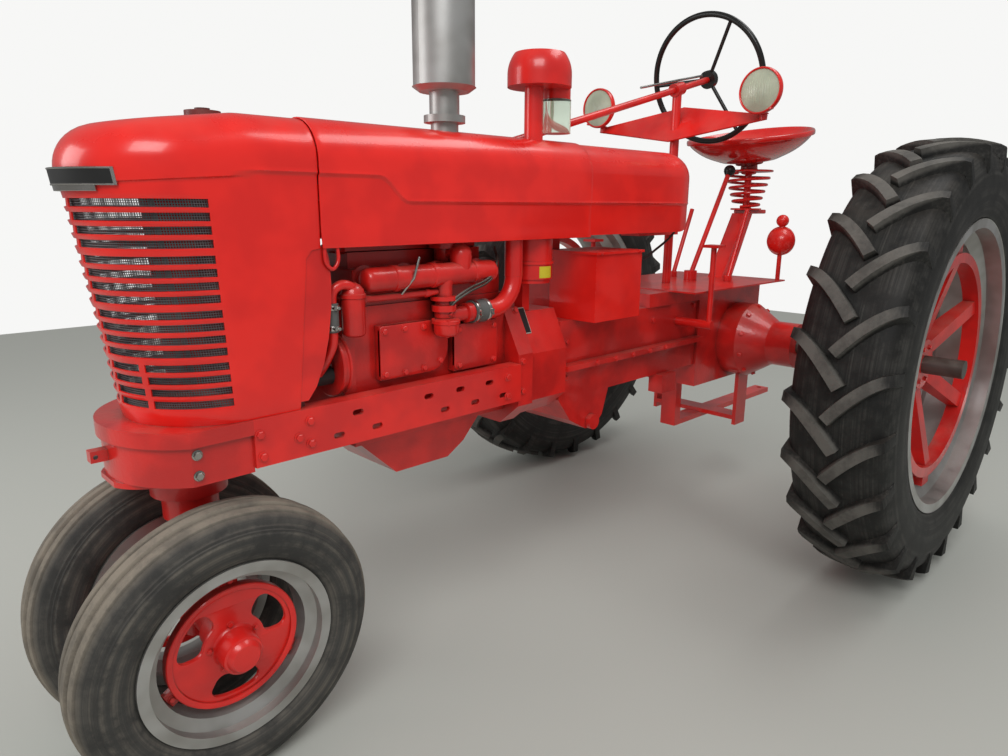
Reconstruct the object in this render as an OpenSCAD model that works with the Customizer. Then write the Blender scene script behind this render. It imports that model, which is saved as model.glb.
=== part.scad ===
// Row-crop tractor of the 1940s with a narrow twin front wheel, standing on the ground.
// Front is +X and the left side is +Y. The origin is on the ground, under the middle.

/* [Chassis] */
// Distance from the rear axle to the front axle
wheelbase = 2240; // [2180:10:2300]
// Half distance between the outer faces of the two frame rails
rail_half_w = 198; // [190:1:204]
// Height of a frame rail
rail_h = 110; // [100:1:120]
// Height of the top of the rails above the ground
rail_top_z = 855; // [850:1:865]
// Plate thickness of a frame rail
rail_t = 10; // [8:1:12]

/* [Rear wheels] */
// Radius of a rear tyre over its lugs
rear_tyre_r = 765; // [750:1:780]
// Width of a rear tyre at its widest
rear_tyre_w = 310; // [290:1:320]
// Radius of a rear rim over its flanges
rear_rim_r = 508; // [495:1:515]
// Distance from the middle of the tractor to the middle of a rear tyre
rear_track_half = 860; // [840:1:900]
// Radius of the rear axle bar
axle_bar_r = 32; // [28:1:36]

/* [Front wheels] */
// Radius of a front tyre
front_tyre_r = 340; // [330:1:345]
// Width of a front tyre
front_tyre_w = 148; // [140:1:150]
// Radius of a front rim over its flanges
front_rim_r = 222; // [215:1:226]
// Distance from the middle of the tractor to the middle of a front tyre
front_track_half = 157; // [155:1:170]
// Lean of each front wheel, tops outward, in degrees
camber = 5; // [3:0.5:6]

/* [Sheet metal] */
// Half width of the hood, tank and radiator shell
hood_half_w = 198; // [190:1:202]
// Height of the hood's lower edge
hood_low_z = 1210; // [1205:1:1225]
// Height of the hood's two crests
hood_top_z = 1488; // [1475:1:1500]
// Depth of the valley between the crests
valley_depth = 46; // [36:1:52]
// Radius of each crest
crest_r = 90; // [80:1:94]
// Wall of the hood and the radiator shell
sheet = 4; // [3:0.5:6]
// Height of one grille slot
slot_h = 12; // [8:1:14]

/* [Steering] */
// Radius of the steering wheel to the middle of its rim
wheel_r = 235; // [215:1:240]
// Radius of the steering wheel's rim section
wheel_grip_r = 11; // [9:1:14]
// Slope of the steering shaft below level, in degrees
shaft_slope = 15.3; // [14:0.1:16]
// Radius of the steering shaft
steer_shaft_r = 12; // [10:1:14]
// Radius of the pedestal's spindle in the bolster
spindle_r = 40; // [34:1:46]

/* [Drives] */
// Radius of the power take-off shaft
pto_r = 17.46; // [15:0.1:20]
// Radius of the belt pulley
pulley_r = 124; // [110:1:130]
// Width of the belt pulley
pulley_w = 190; // [160:1:200]
// Radius of the fan
fan_r = 150; // [120:1:152]
// Radius of the hitch hole in the drawbar
hitch_r = 11; // [9:0.5:14]

/* [Fits] */
// Radial clearance of a turning shaft in its bore
run_fit = 0.05; // [0.02:0.01:0.1]
// End gap beside a turning shoulder
end_gap = 0.3; // [0.2:0.1:0.5]

/* [Hidden] */
$fn = 48;
paint = "#c01a16";
rear_x = -(wheelbase + front_tyre_r - rear_tyre_r) / 2;
rear_z = rear_tyre_r;
front_x = wheelbase;

// Stations along the tractor, measured forward from the rear axle
bolster_x = front_x - 75;
seam_x = front_x - 262;
bell_x = 1345;
case_x = 1110;
tank_front_x = 1047;
tank_rear_x = 430;
block_front_x = front_x - 372;
post_x = 311;

// Belt pulley and power take-off
pulley_x = 880;
pulley_z = 830;
pulley_in_y = 215;
pulley_shaft_r = 22;
pto_z = 640;
pto_journal_r = 15;

// Heights
rail_low_z = rail_top_z - rail_h;
pedestal_top_z = rail_low_z - 81;
case_top_z = 948;
tank_low_z = hood_low_z + 6;
deck_z = rear_z + 238;
block_low_z = 706;
block_top_z = 1188;

// Line of the steering shaft, given by the wheel's hub
hub_x = 106;
hub_z = 1790;
function shaft_z(x) = hub_z - (x - hub_x) * tan(shaft_slope);
shaft_end_x = 1580;

// Half outline of the hood from its lower edge over a crest to the valley
function crest_mid(w) = w - crest_r;
function valley_r(w) = (pow(crest_mid(w), 2) + pow(crest_r - valley_depth, 2) - pow(crest_r, 2))
    / (2 * valley_depth);
function lean(w) = atan2(crest_mid(w), crest_r - valley_depth + valley_r(w));
function hood_half(w, low, inset) = concat(
    [[w - inset, low]],
    [for (i = [0:10]) let (a = i * (90 + lean(w)) / 10)
        [crest_mid(w) + (crest_r - inset) * cos(a),
         hood_top_z - crest_r + (crest_r - inset) * sin(a)]],
    [for (i = [1:5]) let (a = 270 + lean(w) * (1 - i / 5))
        [(valley_r(w) + inset) * cos(a),
         hood_top_z - valley_depth + valley_r(w) + (valley_r(w) + inset) * sin(a)]]);
function mirrored(p) = [for (i = [len(p) - 1:-1:0]) if (p[i][0] > 0.001) [-p[i][0], p[i][1]]];
function hood_outline(w, low, inset) = let (h = hood_half(w, low, inset)) concat(h, mirrored(h));

// The same outline without the valley
function crown_half(w, low, inset) = concat(
    [[w - inset, low]],
    [for (i = [0:9]) let (a = i * 10)
        [crest_mid(w) + (crest_r - inset) * cos(a),
         hood_top_z - crest_r + (crest_r - inset) * sin(a)]]);
function crown_outline(w, low, inset) = let (h = crown_half(w, low, inset)) concat(h, mirrored(h));

// The space over the valley, up to above the crests
function valley_half(w, grow) = concat(
    [[crest_mid(w), hood_top_z + 40]],
    [for (i = [0:5]) let (a = 90 + lean(w) * i / 5)
        [crest_mid(w) + (crest_r - grow) * cos(a), hood_top_z - crest_r + (crest_r - grow) * sin(a)]],
    [for (i = [1:5]) let (a = 270 + lean(w) * (1 - i / 5))
        [(valley_r(w) + grow) * cos(a),
         hood_top_z - valley_depth + valley_r(w) + (valley_r(w) + grow) * sin(a)]]);
function valley_outline(grow) = let (h = valley_half(hood_half_w, grow)) concat(h, mirrored(h));

// Tyre outlines as radius and distance from the tyre's middle
function tyre_outline(r, w, crown_w, drop, bead_r, bead_w, flange_r) = let (
    b = bead_w / 2 - 0.3,
    low = flange_r + 3,
    mid = (low + r - drop) / 2,
    right = concat(
        [[bead_r + 0.3, b], [low, b]],
        [for (i = [-3:2]) let (a = i * 25)
            [mid + (r - drop - low) / 2 * sin(a) / sin(76), b + (w / 2 - b) * cos(a)]],
        [[r - drop, crown_w / 2]],
        [for (i = [3:-1:1]) [r - drop * pow(i / 4, 2), crown_w / 2 * i / 4]],
        [[r, 0]]))
    concat(right, [for (i = [len(right) - 2:-1:0]) [right[i][0], -right[i][1]]]);

rear_bead_r = rear_rim_r - 25;
rear_bead_w = 262;
rear_well_r = rear_bead_r - 40;
rear_ring_r = rear_well_r - 55;
front_bead_r = front_rim_r - 18;
front_bead_w = 112;
function front_tyre_points() =
    tyre_outline(front_tyre_r, front_tyre_w, front_tyre_w - 40, 16, front_bead_r, front_bead_w, front_rim_r);
front_z = max([for (p = front_tyre_points()) p[0] * cos(camber) + p[1] * sin(camber)]);

module at_axle() translate([rear_x, 0, 0]) children();

module bar(a, b, r) {
    d = b - a;
    translate(a) rotate([0, acos(d[2] / norm(d)), atan2(d[1], d[0])]) cylinder(r = r, h = norm(d));
}

module cross_cyl(x, z, r, y0, y1) translate([x, y0, z]) rotate([-90, 0, 0]) cylinder(r = r, h = y1 - y0);

module long_cyl(x0, x1, y, z, r) translate([x0, y, z]) rotate([0, 90, 0]) cylinder(r = r, h = x1 - x0);

// A block given by its two corners
module block(a, b) translate(a) cube(b - a);

// An outline of x and z points, extruded across the tractor
module side_plate(points, y0, y1) translate([0, y1, 0]) rotate([90, 0, 0])
    linear_extrude(y1 - y0) polygon(points);

// An outline of y and z points, extruded along the tractor
module section_plate(points, x0, x1) translate([x0, 0, 0]) rotate([90, 0, 90])
    linear_extrude(x1 - x0) polygon(points);

module both_sides() for (s = [0, 1]) mirror([0, s, 0]) children();

// Front bolster: a deep casting between the rails with a round nose
module bolster_plan(inset) intersection() {
    translate([bolster_x, -rail_half_w + inset]) square([248 - inset, 2 * (rail_half_w - inset)]);
    translate([front_x - 57, 0]) circle(r = 230 - inset, $fn = 96);
}

module bolster() color(paint) at_axle() difference() {
    union() {
        translate([0, 0, rail_top_z - 34]) linear_extrude(34) bolster_plan(0);
        translate([0, 0, rail_low_z - 10]) linear_extrude(rail_h - 24) bolster_plan(9);
        translate([front_x, 0, pedestal_top_z]) cylinder(r = 84, h = rail_low_z - pedestal_top_z);
        translate([front_x + 118, 0, rail_low_z - 22]) linear_extrude(12)
            intersection() {
                square([100, 240], center = true);
                translate([-60, 0]) circle(r = 118);
            }
        block([front_x + 140, -13, 775], [front_x + 198, 13, 800]);
    }
    translate([front_x, 0, pedestal_top_z - 1])
        cylinder(r = spindle_r + run_fit, h = 141);
    cross_cyl(front_x + 188, 787, 5, -20, 20);
}

// Frame rails: channels with open flanges inward and rows of slotted holes
slot_pitch = 108;
slot_first_x = bolster_x - 208;
rail_slots_high = [for (i = [0.5, 2.5, 3.5, 4.5]) slot_first_x - i * slot_pitch];
rail_slots_low = [for (i = [0, 1, 3, 4, 5]) slot_first_x - i * slot_pitch];

module rail() difference() {
    union() {
        block([bell_x, rail_half_w - rail_t, rail_low_z], [bolster_x, rail_half_w, rail_top_z]);
        block([bell_x, rail_half_w - 46, rail_low_z], [bolster_x, rail_half_w, rail_low_z + rail_t]);
        block([bell_x, rail_half_w - 46, rail_top_z - rail_t], [bolster_x, rail_half_w, rail_top_z]);
    }
    for (x = rail_slots_high) rail_slot(x, rail_top_z - 34);
    for (x = rail_slots_low) rail_slot(x, rail_low_z + 30);
}

module rail_slot(x, z) for (dx = [-8, 8]) {
    cross_cyl(x + dx, z, 7, rail_half_w - rail_t - 1, rail_half_w + 1);
    block([x - 8, rail_half_w - rail_t - 1, z - 7], [x + 8, rail_half_w + 1, z + 7]);
}

module frame_rails() color(paint) at_axle() both_sides() rail();

// Radiator: core between two tanks, filler neck and cap
core_x = front_x - 200;
module radiator() color("#8f1512") at_axle() {
    block([core_x, -165, 955], [core_x + 70, 165, 1350]);
    block([core_x - 12, -172, rail_top_z], [core_x + 82, 172, 955]);
    block([core_x - 12, -172, 1350], [core_x + 82, 172, 1400]);
    difference() {
        block([core_x - 40, -190, 930], [core_x - 12, 190, 1344]);
        long_cyl(core_x - 41, core_x - 11, 0, fan_z, fan_r + 12);
    }
    translate([front_x - 118, -30, 1399]) cylinder(r = 24, h = hood_top_z - 1397);
    translate([front_x - 118, -30, hood_top_z + 2]) cylinder(r = 38, h = 12);
    translate([front_x - 118, -30, hood_top_z + 14]) cylinder(r = 16, h = 6);
    block([front_x - 190, -36, hood_top_z + 5], [front_x - 150, -24, hood_top_z + 11]);
}

// Radiator shell: round nose that leans, two crests and slots for air
nose_lean = 7.6;
module shell_body(inset) difference() {
    hull() {
        translate([front_x + 5, 0, hood_top_z - 16]) rotate([0, nose_lean, 0])
            rotate_extrude($fn = 64) polygon(concat(
                [[0, -560], [hood_half_w - inset, -560]],
                [for (i = [0:6]) let (a = i * 15)
                    [crest_mid(hood_half_w) + (crest_r - inset) * cos(a),
                     -crest_r + (crest_r - inset) * sin(a)]],
                [[0, -inset]]));
        section_plate(crown_outline(hood_half_w, rail_top_z - 60, inset), seam_x - inset * 3, seam_x + 20);
    }
    valley_cut(inset);
}

// The valley in the shell gets shallower towards the nose
valley_rise = 6;
module valley_cut(grow) translate([seam_x, 0, hood_top_z - valley_depth]) rotate([0, -valley_rise, 0])
    translate([-seam_x, 0, valley_depth - hood_top_z])
        section_plate(valley_outline(grow), seam_x - 60, front_x + 260);

module grille_row(z, x0) {
    block([x0 + slot_h / 2, -300, z - slot_h / 2], [front_x + 300, 300, z + slot_h / 2]);
    cross_cyl(x0 + slot_h / 2, z, slot_h / 2, -300, 300);
}

grille_top_z = 1306;
grille_pitch = 26;
module grille() difference() {
    for (group = [0:3]) for (row = [0:3]) let (n = group * 4 + row)
        grille_row(grille_top_z - n * grille_pitch - group * 5, front_x - 21 - n * 1.2);
    block([front_x - 40, -7, 800], [front_x + 300, 7, 1400]);
    both_sides() block([front_x - 40, 96, 800], [front_x + 300, 108, grille_top_z - 11.6 * grille_pitch]);
}

module shell_side_cut() side_plate([
    [seam_x - 60, hood_low_z], [seam_x + 18, hood_low_z], [seam_x + 32, hood_low_z - 12],
    [seam_x + 38, hood_low_z - 28], [front_x - 190, rail_top_z], [front_x - 190, 700], [seam_x - 60, 700]],
    -300, 300);

module radiator_shell() color(paint) at_axle() difference() {
    shell_body(0);
    shell_body(sheet);
    grille();
    shell_side_cut();
    block([seam_x - 80, -300, 600], [front_x + 400, 300, rail_top_z]);
    block([seam_x - 80, -300, 600], [seam_x, 300, 1600]);
    translate([front_x - 118, -30, 1380]) cylinder(r = 28, h = 200);
}

// Hood: a sheet channel with two crests, open below
muffler_x = 1540;
muffler_y = 98;
cleaner_x = 1228;
cleaner_y = 122;
stack_r = 27;
pipe_r = 36;
module hood() color(paint) at_axle() difference() {
    section_plate(hood_outline(hood_half_w, hood_low_z, 0), tank_front_x, seam_x);
    section_plate(hood_outline(hood_half_w, hood_low_z - 1, sheet), tank_front_x - 1, seam_x + 1);
    translate([muffler_x, muffler_y, 1300]) cylinder(r = pipe_r + 14, h = 300);
    translate([cleaner_x, cleaner_y, 1300]) cylinder(r = stack_r + 6, h = 300);
    bar([hub_x, 0, hub_z], [shaft_end_x, 0, shaft_z(shaft_end_x)], steer_shaft_r + 9);
}

// Fuel tank: the hood's outline carried back and rounded off at the tail
module tank_slab(inset, x0, x1) section_plate(
    [for (p = crown_outline(hood_half_w, tank_low_z, inset)) [p[0], max(p[1], tank_low_z + inset)]], x0, x1);

module fuel_tank() color(paint) at_axle() difference() {
    hull() {
        tank_slab(0, tank_rear_x + 110, tank_front_x);
        tank_slab(12, tank_rear_x + 60, tank_rear_x + 61);
        tank_slab(34, tank_rear_x + 24, tank_rear_x + 25);
        tank_slab(70, tank_rear_x, tank_rear_x + 1);
    }
    section_plate(valley_outline(0), tank_rear_x - 10, tank_front_x + 1);
}

// Engine: block, head and cover as plain blocks, side cover and front cover
module engine_block() color(paint) at_axle() {
    block([bell_x, -125, block_low_z], [block_front_x, 125, 1060]);
    block([bell_x + 15, -118, 1060], [block_front_x - 15, 118, 1150]);
    block([bell_x + 40, -60, 1150], [block_front_x - 40, 60, block_top_z]);
    block([block_front_x, -140, 740], [block_front_x + 34, 140, 1085]);
    block([1650, 125, 872], [1800, 146, 1010]);
    cross_cyl(1650, 941, 69, 125, 146);
    block([1400, 125, 860], [1560, 150, 990]);
    long_cyl(block_front_x + 34, fan_x, 0, fan_z, 46);
    long_cyl(fan_x, fan_x + 60, 0, fan_z, pump_shaft_r);
}

fan_z = 1090;
fan_x = block_front_x + 52;
pump_shaft_r = 9;
module fan() color("#a51814") at_axle() difference() {
    union() {
        translate([fan_x + end_gap, 0, fan_z]) rotate([0, 90, 0]) rotate_extrude()
            polygon([[0, 0], [52, 0], [52, 6], [44, 13], [44, 19], [52, 26], [52, 46], [0, 46]]);
        intersection() {
            for (i = [0:3]) translate([fan_x + 36, 0, fan_z]) rotate([i * 90 + 45, 0, 0])
                translate([0, 0, 30]) rotate([0, 0, 24]) translate([-3, -38, 0]) cube([5, 76, fan_r]);
            long_cyl(fan_x, fan_x + 80, 0, fan_z, fan_r);
        }
    }
    long_cyl(fan_x - 1, fan_x + 80, 0, fan_z, pump_shaft_r + run_fit);
}

module oil_pan() color(paint) at_axle() side_plate([
    [1440, block_low_z], [block_front_x - 18, block_low_z], [block_front_x - 128, 604], [1560, 604],
    [1500, 640]], -118, 118);

// Manifold along the head, with the riser for the carburettor below
module manifold() color(paint) at_axle() {
    long_cyl(1420, block_front_x - 18, 158, 1128, 30);
    for (x = [1450, 1590, block_front_x - 168, block_front_x - 48]) cross_cyl(x, 1128, 24, 118, 150);
    translate([muffler_x, 158, 1128]) cylinder(r = 28, h = 50);
    translate([muffler_x, 158, 1176]) sphere(r = 30);
    cross_cyl(muffler_x, 1180, 24, muffler_y, 158);
    translate([muffler_x, muffler_y, 1156]) cylinder(r = 34, h = 44);
    translate([muffler_x, muffler_y, 1194]) cylinder(r = 48, h = 12);
    translate([1600, 158, 1040]) cylinder(r = 22, h = 80);
    translate([1600, 158, 1062]) cylinder(r = 36, h = 10);
}

module carburettor() color(paint) at_axle() {
    translate([1600, 158, 1012]) cylinder(r = 26, h = 28);
    translate([1612, 182, 968]) cylinder(r = 34, h = 46);
    long_cyl(1520, 1600, 158, 1019, 20);
}

// Air cleaner can, its stack through the hood and the pre-cleaner head
module air_cleaner() color(paint) at_axle() {
    translate([cleaner_x, cleaner_y, 1092]) cylinder(r = 62, h = 230);
    translate([cleaner_x, cleaner_y, 1080]) cylinder(r = 56, h = 12);
    translate([cleaner_x, cleaner_y, 1136]) cylinder(r = 66, h = 8);
    translate([cleaner_x, cleaner_y, 1322]) cylinder(r = stack_r, h = 320);
    translate([cleaner_x - 22, cleaner_y, 1632]) cylinder(r = 92, h = 34);
    translate([cleaner_x - 22, cleaner_y, 1666]) intersection() {
        sphere(r = 92, $fn = 64);
        cylinder(r = 100, h = 57);
    }
    translate([cleaner_x - 98, cleaner_y, 1606]) cylinder(r = 40, h = 30);
    block([cleaner_x - 15, 66, 990], [cleaner_x + 15, 100, 1094]);
}

module precleaner_jar() color("#b8c8b0") at_axle()
    translate([cleaner_x - 98, cleaner_y, 1512]) cylinder(r = 42, h = 94);

// Intake pipe from the cleaner, round under the hood and down to the carburettor
intake_r = 26;
module intake_pipe() color(paint) at_axle() {
    elbow = 90;
    low_z = 1020;
    top_z = 1262;
    long_cyl(1428, 1520, 158, low_z, intake_r);
    translate([1430, 158, low_z + elbow]) rotate([-90, 90, 0]) rotate_extrude(angle = 90)
        translate([elbow, 0]) circle(r = intake_r - 1);
    translate([1430 - elbow, 158, low_z + elbow - 2]) cylinder(r = intake_r, h = top_z - low_z - elbow + 12);
    difference() {
        long_cyl(cleaner_x + 30, 1430 - elbow, 146, top_z, intake_r - 4);
        translate([cleaner_x, cleaner_y, top_z - 60]) cylinder(r = 62.2, h = 120);
    }
}

module muffler() color("#b9b9b4") at_axle() translate([muffler_x, muffler_y, 0]) {
    translate([0, 0, 1600]) cylinder(r = 80, h = 520);
    translate([0, 0, 1588]) cylinder(r1 = 66, r2 = 83, h = 12);
    translate([0, 0, 2120]) cylinder(r1 = 80, r2 = 40, h = 24);
    translate([0, 0, 2144]) cylinder(r = 34, h = 60);
    translate([0, 0, 1530]) cylinder(r = 39, h = 58);
    translate([0, 0, 1512]) cylinder(r = 54, h = 18);
    translate([0, 0, 1206]) cylinder(r = pipe_r, h = 306);
}

module governor() color(paint) at_axle() {
    translate([block_front_x + 17, 168, 1000]) cylinder(r = 28, h = 100);
    translate([block_front_x + 17, 168, 1100]) sphere(r = 28);
    block([block_front_x, 140, 1002], [block_front_x + 34, 152, 1085]);
    long_cyl(1622.5, block_front_x + 2, 158, 1084, 9);
    long_cyl(block_front_x + 34, block_front_x + 60, 108, 926, 78);
}

module water_hoses() color("#222222") at_axle() {
    long_cyl(block_front_x + 60, core_x - 12, 120, 903, 22);
    long_cyl(block_front_x - 68, core_x - 12, 0, 1375, 23);
    translate([block_front_x - 68, 0, block_top_z]) cylinder(r = 26, h = 1401 - block_top_z);
}

// Generator, starter, filter and ignition unit on the right side
module accessories() color("#222222") at_axle() {
    long_cyl(block_front_x - 228, block_front_x - 18, -186, 1010, 58);
    block([block_front_x - 178, -170, 985], [block_front_x - 88, -125, 1035]);
    long_cyl(bell_x, 1600, -171, 905, 46);
    translate([1480, -186, 985]) cylinder(r = 48, h = 160);
    block([1460, -160, 1000], [1500, -125, 1060]);
    translate([block_front_x - 78, -159, 862]) cylinder(r = 34, h = 78);
}

// Clutch housing between the engine and the gear case
module clutch_housing() color(paint) at_axle() {
    section_plate([[-188, rail_low_z - 20], [-110, 660], [110, 660], [188, rail_low_z - 20], [188, 880],
        [120, 1010], [-120, 1010], [-188, 880]], bell_x - 60, bell_x);
    section_plate([[-168, rail_low_z - 20], [-100, 668], [100, 668], [168, rail_low_z - 20], [168, 870],
        [110, 990], [-110, 990], [-168, 870]], case_x, bell_x - 60);
}

// Gear case with its lower bulge, side ridge and the rear main frame
module transmission() color(paint) at_axle() {
    side_plate([[case_x, case_top_z], [case_x, 690], [1050, 610], [970, 566], [920, 560], [880, 600],
        [850, 690], [300, 690], [300, case_top_z]], -140, 140);
    both_sides() side_plate([[case_x, 790], [case_x, 808], [300, 808], [300, 790]], 139, 176);
    difference() {
        side_plate([[640, case_top_z], [640, deck_z - 6], [-190, deck_z - 6], [-190, 600], [300, 600],
            [300, case_top_z]], -150, 150);
        long_cyl(-191, -190 + 60, 0, pto_z, pto_journal_r + run_fit);
    }
    cross_cyl(945, 588, 26, -160, 160);
    block([tank_front_x - 50, -80, case_top_z], [tank_front_x - 10, 30, tank_low_z]);
    cross_cyl(pulley_x, pulley_z, 44, -pulley_in_y, -140);
    cross_cyl(pulley_x, pulley_z, pulley_shaft_r, -pulley_in_y - 80, -140);
    both_sides() block([470, 110, 620], [560, 170, 690]);
}

module battery_box() color(paint) at_axle() {
    block([816, 38, case_top_z], [1052, 230, 1158]);
    block([810, 32, 1158], [1058, 236, 1166]);
}

// Rear axle carriers and the bars that turn in them
carrier_y = 230;
carrier_end_y = 430;
axle_inner_y = 250;
module axle_carrier() difference() {
    union() {
        cross_cyl(0, rear_z, 150, 150, carrier_y);
        translate([0, carrier_y, rear_z]) rotate([-90, 0, 0]) cylinder(r1 = 150, r2 = 88, h = 100);
        cross_cyl(0, rear_z, 88, carrier_y + 100, carrier_end_y);
    }
    cross_cyl(0, rear_z, axle_bar_r + run_fit, axle_inner_y - end_gap, carrier_end_y + 1);
}

module axle_carriers() color(paint) at_axle() both_sides() axle_carrier();

module axle_bar() color("#3a3632") at_axle()
    cross_cyl(0, rear_z, axle_bar_r, axle_inner_y, rear_track_half + 148);

module axle_bar_left() axle_bar();
module axle_bar_right() mirror([0, 1, 0]) axle_bar();

// Rear wheels: tyre, rim and dished centre with spokes
module rear_wheel_frame() at_axle() translate([0, rear_track_half, rear_z]) rotate([-90, 0, 0]) children();

module rear_tyre() color("#1c1c1c") rear_wheel_frame() rotate_extrude($fn = 96)
    polygon(tyre_outline(rear_tyre_r, rear_tyre_w, 282, 62, rear_bead_r, rear_bead_w, rear_rim_r));

rim_t = 6;
function rim_profile(flange_r, bead_r, bead_w, well_r, lip) = let (
    h = bead_w / 2,
    outer = [[flange_r, h + lip], [flange_r, h], [bead_r, h], [bead_r, h * 0.62], [well_r, h * 0.42]],
    inner = [[well_r - rim_t, h * 0.42 + 4], [bead_r - rim_t, h * 0.62 + 4], [bead_r - rim_t, h + rim_t],
        [flange_r - 2, h + rim_t], [flange_r, h + lip]])
    concat(outer, [for (i = [len(outer) - 1:-1:0]) [outer[i][0], -outer[i][1]]],
        [for (i = [len(inner) - 2:-1:0]) [inner[i][0], -inner[i][1]]],
        [for (i = [0:len(inner) - 2]) inner[i]]);

module rear_rim() color("#c4c4c0") rear_wheel_frame() rotate_extrude($fn = 96)
    polygon(rim_profile(rear_rim_r, rear_bead_r, rear_bead_w, rear_well_r, 8));

hub_out = 22;
module rear_centre() color(paint) rear_wheel_frame() difference() {
    union() {
        translate([0, 0, hub_out - 110]) cylinder(r = 88, h = 110);
        for (i = [0:5]) rotate([0, 0, i * 60 + 30]) translate([0, 27, 0]) rotate([90, 0, 0])
            linear_extrude(54) polygon([
                [70, hub_out - 90], [70, hub_out - 15], [rear_ring_r + 2, 88], [rear_ring_r + 2, 52]]);
        rotate_extrude($fn = 96) translate([rear_ring_r - 28, 40]) square([34, 52]);
        intersection() {
            for (i = [0:5]) rotate([0, 0, i * 60 + 30])
                block([rear_ring_r - 8, -34, 36], [rear_ring_r + 82, 34, 80]);
            cylinder(r = rear_well_r - rim_t - 0.3, h = 200, $fn = 96);
        }
    }
    translate([0, 0, hub_out - 120]) cylinder(r = axle_bar_r + run_fit, h = 200);
}

module rear_tyre_left() rear_tyre();
module rear_tyre_right() mirror([0, 1, 0]) rear_tyre();
module rear_rim_left() rear_rim();
module rear_rim_right() mirror([0, 1, 0]) rear_rim();
module rear_centre_left() rear_centre();
module rear_centre_right() mirror([0, 1, 0]) rear_centre();

// Front pedestal: spindle, column and the two leaning stub axles
stub_r = 20;
hub_in = 64;
module front_wheel_frame() translate([front_x, front_track_half, front_z])
    rotate([-90 - camber, 0, 0]) children();

module pedestal() color(paint) at_axle() {
    translate([front_x, 0, pedestal_top_z - 1]) cylinder(r = spindle_r, h = 136);
    translate([front_x, 0, front_z - 30]) cylinder(r = 50, h = pedestal_top_z - front_z + 30 - end_gap);
    translate([front_x, 0, pedestal_top_z - 60]) cylinder(r = 62, h = 60 - end_gap);
    both_sides() {
        front_wheel_frame() translate([0, 0, -front_track_half + 14])
            cylinder(r = 36, h = front_track_half - hub_in - 14 - end_gap);
        front_wheel_frame() translate([0, 0, -hub_in - 1]) cylinder(r = stub_r, h = hub_in + 60);
    }
}

module front_tyre() color("#4a4843") at_axle() front_wheel_frame() rotate_extrude($fn = 96)
    polygon(front_tyre_points());

module front_rim() color("#c4c4c0") at_axle() front_wheel_frame() rotate_extrude($fn = 96)
    polygon(rim_profile(front_rim_r, front_bead_r, front_bead_w, front_bead_r - 26, 6));

// Wheel centre: a dish with three kidney openings, hub and cap
module front_disc() color(paint) at_axle() front_wheel_frame() difference() {
    union() {
        translate([0, 0, -hub_in]) cylinder(r = 46, h = hub_in + 70);
        translate([0, 0, 8]) cylinder(r = 150, h = 12);
        rotate_extrude($fn = 96) translate([138, 4]) square([14, 22]);
        intersection() {
            for (i = [0:2]) rotate([0, 0, i * 120 + 30]) block([140, -20, -4], [200, 20, 8]);
            cylinder(r = front_bead_r - 26 - rim_t - 0.3, h = 100, center = true, $fn = 96);
        }
        translate([0, 0, 70]) cylinder(r1 = 40, r2 = 32, h = 12);
    }
    for (i = [0:2]) rotate([0, 0, i * 120 + 60])
        rotate_extrude(angle = 60) translate([72, 0]) square([56, 60]);
    translate([0, 0, -hub_in - 1]) cylinder(r = stub_r + run_fit, h = hub_in + 62);
}

module front_tyre_left() front_tyre();
module front_tyre_right() mirror([0, 1, 0]) front_tyre();
module front_rim_left() front_rim();
module front_rim_right() mirror([0, 1, 0]) front_rim();
module front_disc_left() front_disc();
module front_disc_right() mirror([0, 1, 0]) front_disc();

// Headlamps on the ends of the light bar
lamp_x = post_x - 32;
lamp_y = 352;
lamp_z = 1692;
lamp_r = 74;
light_bar_z = 1606;
lamp_stem_z = light_bar_z + 14;

// Steering post with its bearing and the bracket under the hood
module shaft_bearing(x, base_z) difference() {
    union() {
        translate([x, 0, base_z]) cylinder(r = 17, h = shaft_z(x) - base_z);
        translate([x, 0, shaft_z(x)]) rotate([0, 90 + shaft_slope, 0])
            cylinder(r = 24, h = 52, center = true);
    }
    bar([x - 60, 0, shaft_z(x - 60)], [x + 60, 0, shaft_z(x + 60)], steer_shaft_r + run_fit);
}

module steering_post() color(paint) at_axle() {
    shaft_bearing(post_x, deck_z);
    shaft_bearing(shaft_end_x - 40, block_top_z);
    block([post_x, -40, tank_low_z - 20], [tank_rear_x + 140, 40, tank_low_z]);
    translate([post_x - 8, 0, light_bar_z]) rotate([0, 52, 0]) linear_extrude(6)
        polygon([[-83, 0], [-10, lamp_y + 12], [10, lamp_y + 12],
            [83, 0], [10, -lamp_y - 12], [-10, -lamp_y - 12]]);
    both_sides() translate([post_x - 6, lamp_y, light_bar_z - 6])
        cylinder(r = 13, h = lamp_stem_z - light_bar_z + 6);
}

module steering_shaft() color(paint) at_axle() {
    bar([hub_x, 0, hub_z], [shaft_end_x, 0, shaft_z(shaft_end_x)], steer_shaft_r);
}

module steering_wheel() color("#1a1a1a") at_axle()
    translate([hub_x, 0, hub_z]) rotate([0, shaft_slope - 90, 0]) {
    rotate_extrude($fn = 96) translate([wheel_r, 0]) circle(r = wheel_grip_r, $fn = 24);
    cylinder(r = 34, h = 26);
    for (i = [0:2]) rotate([0, 0, i * 120 + 30]) bar([20, 0, 12], [wheel_r, 0, 2], 7);
}

module lamp_body() translate([lamp_x, lamp_y, lamp_z]) {
    rotate([0, 90, 0]) cylinder(r1 = lamp_r - 26, r2 = lamp_r, h = 52);
    translate([52, 0, 0]) rotate([0, 90, 0]) cylinder(r = lamp_r + 3, h = 10);
    translate([26, 0, lamp_stem_z - lamp_z]) cylinder(r = 9, h = lamp_z - lamp_stem_z - 40);
}

module headlamps() color(paint) at_axle() both_sides() lamp_body();

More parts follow.
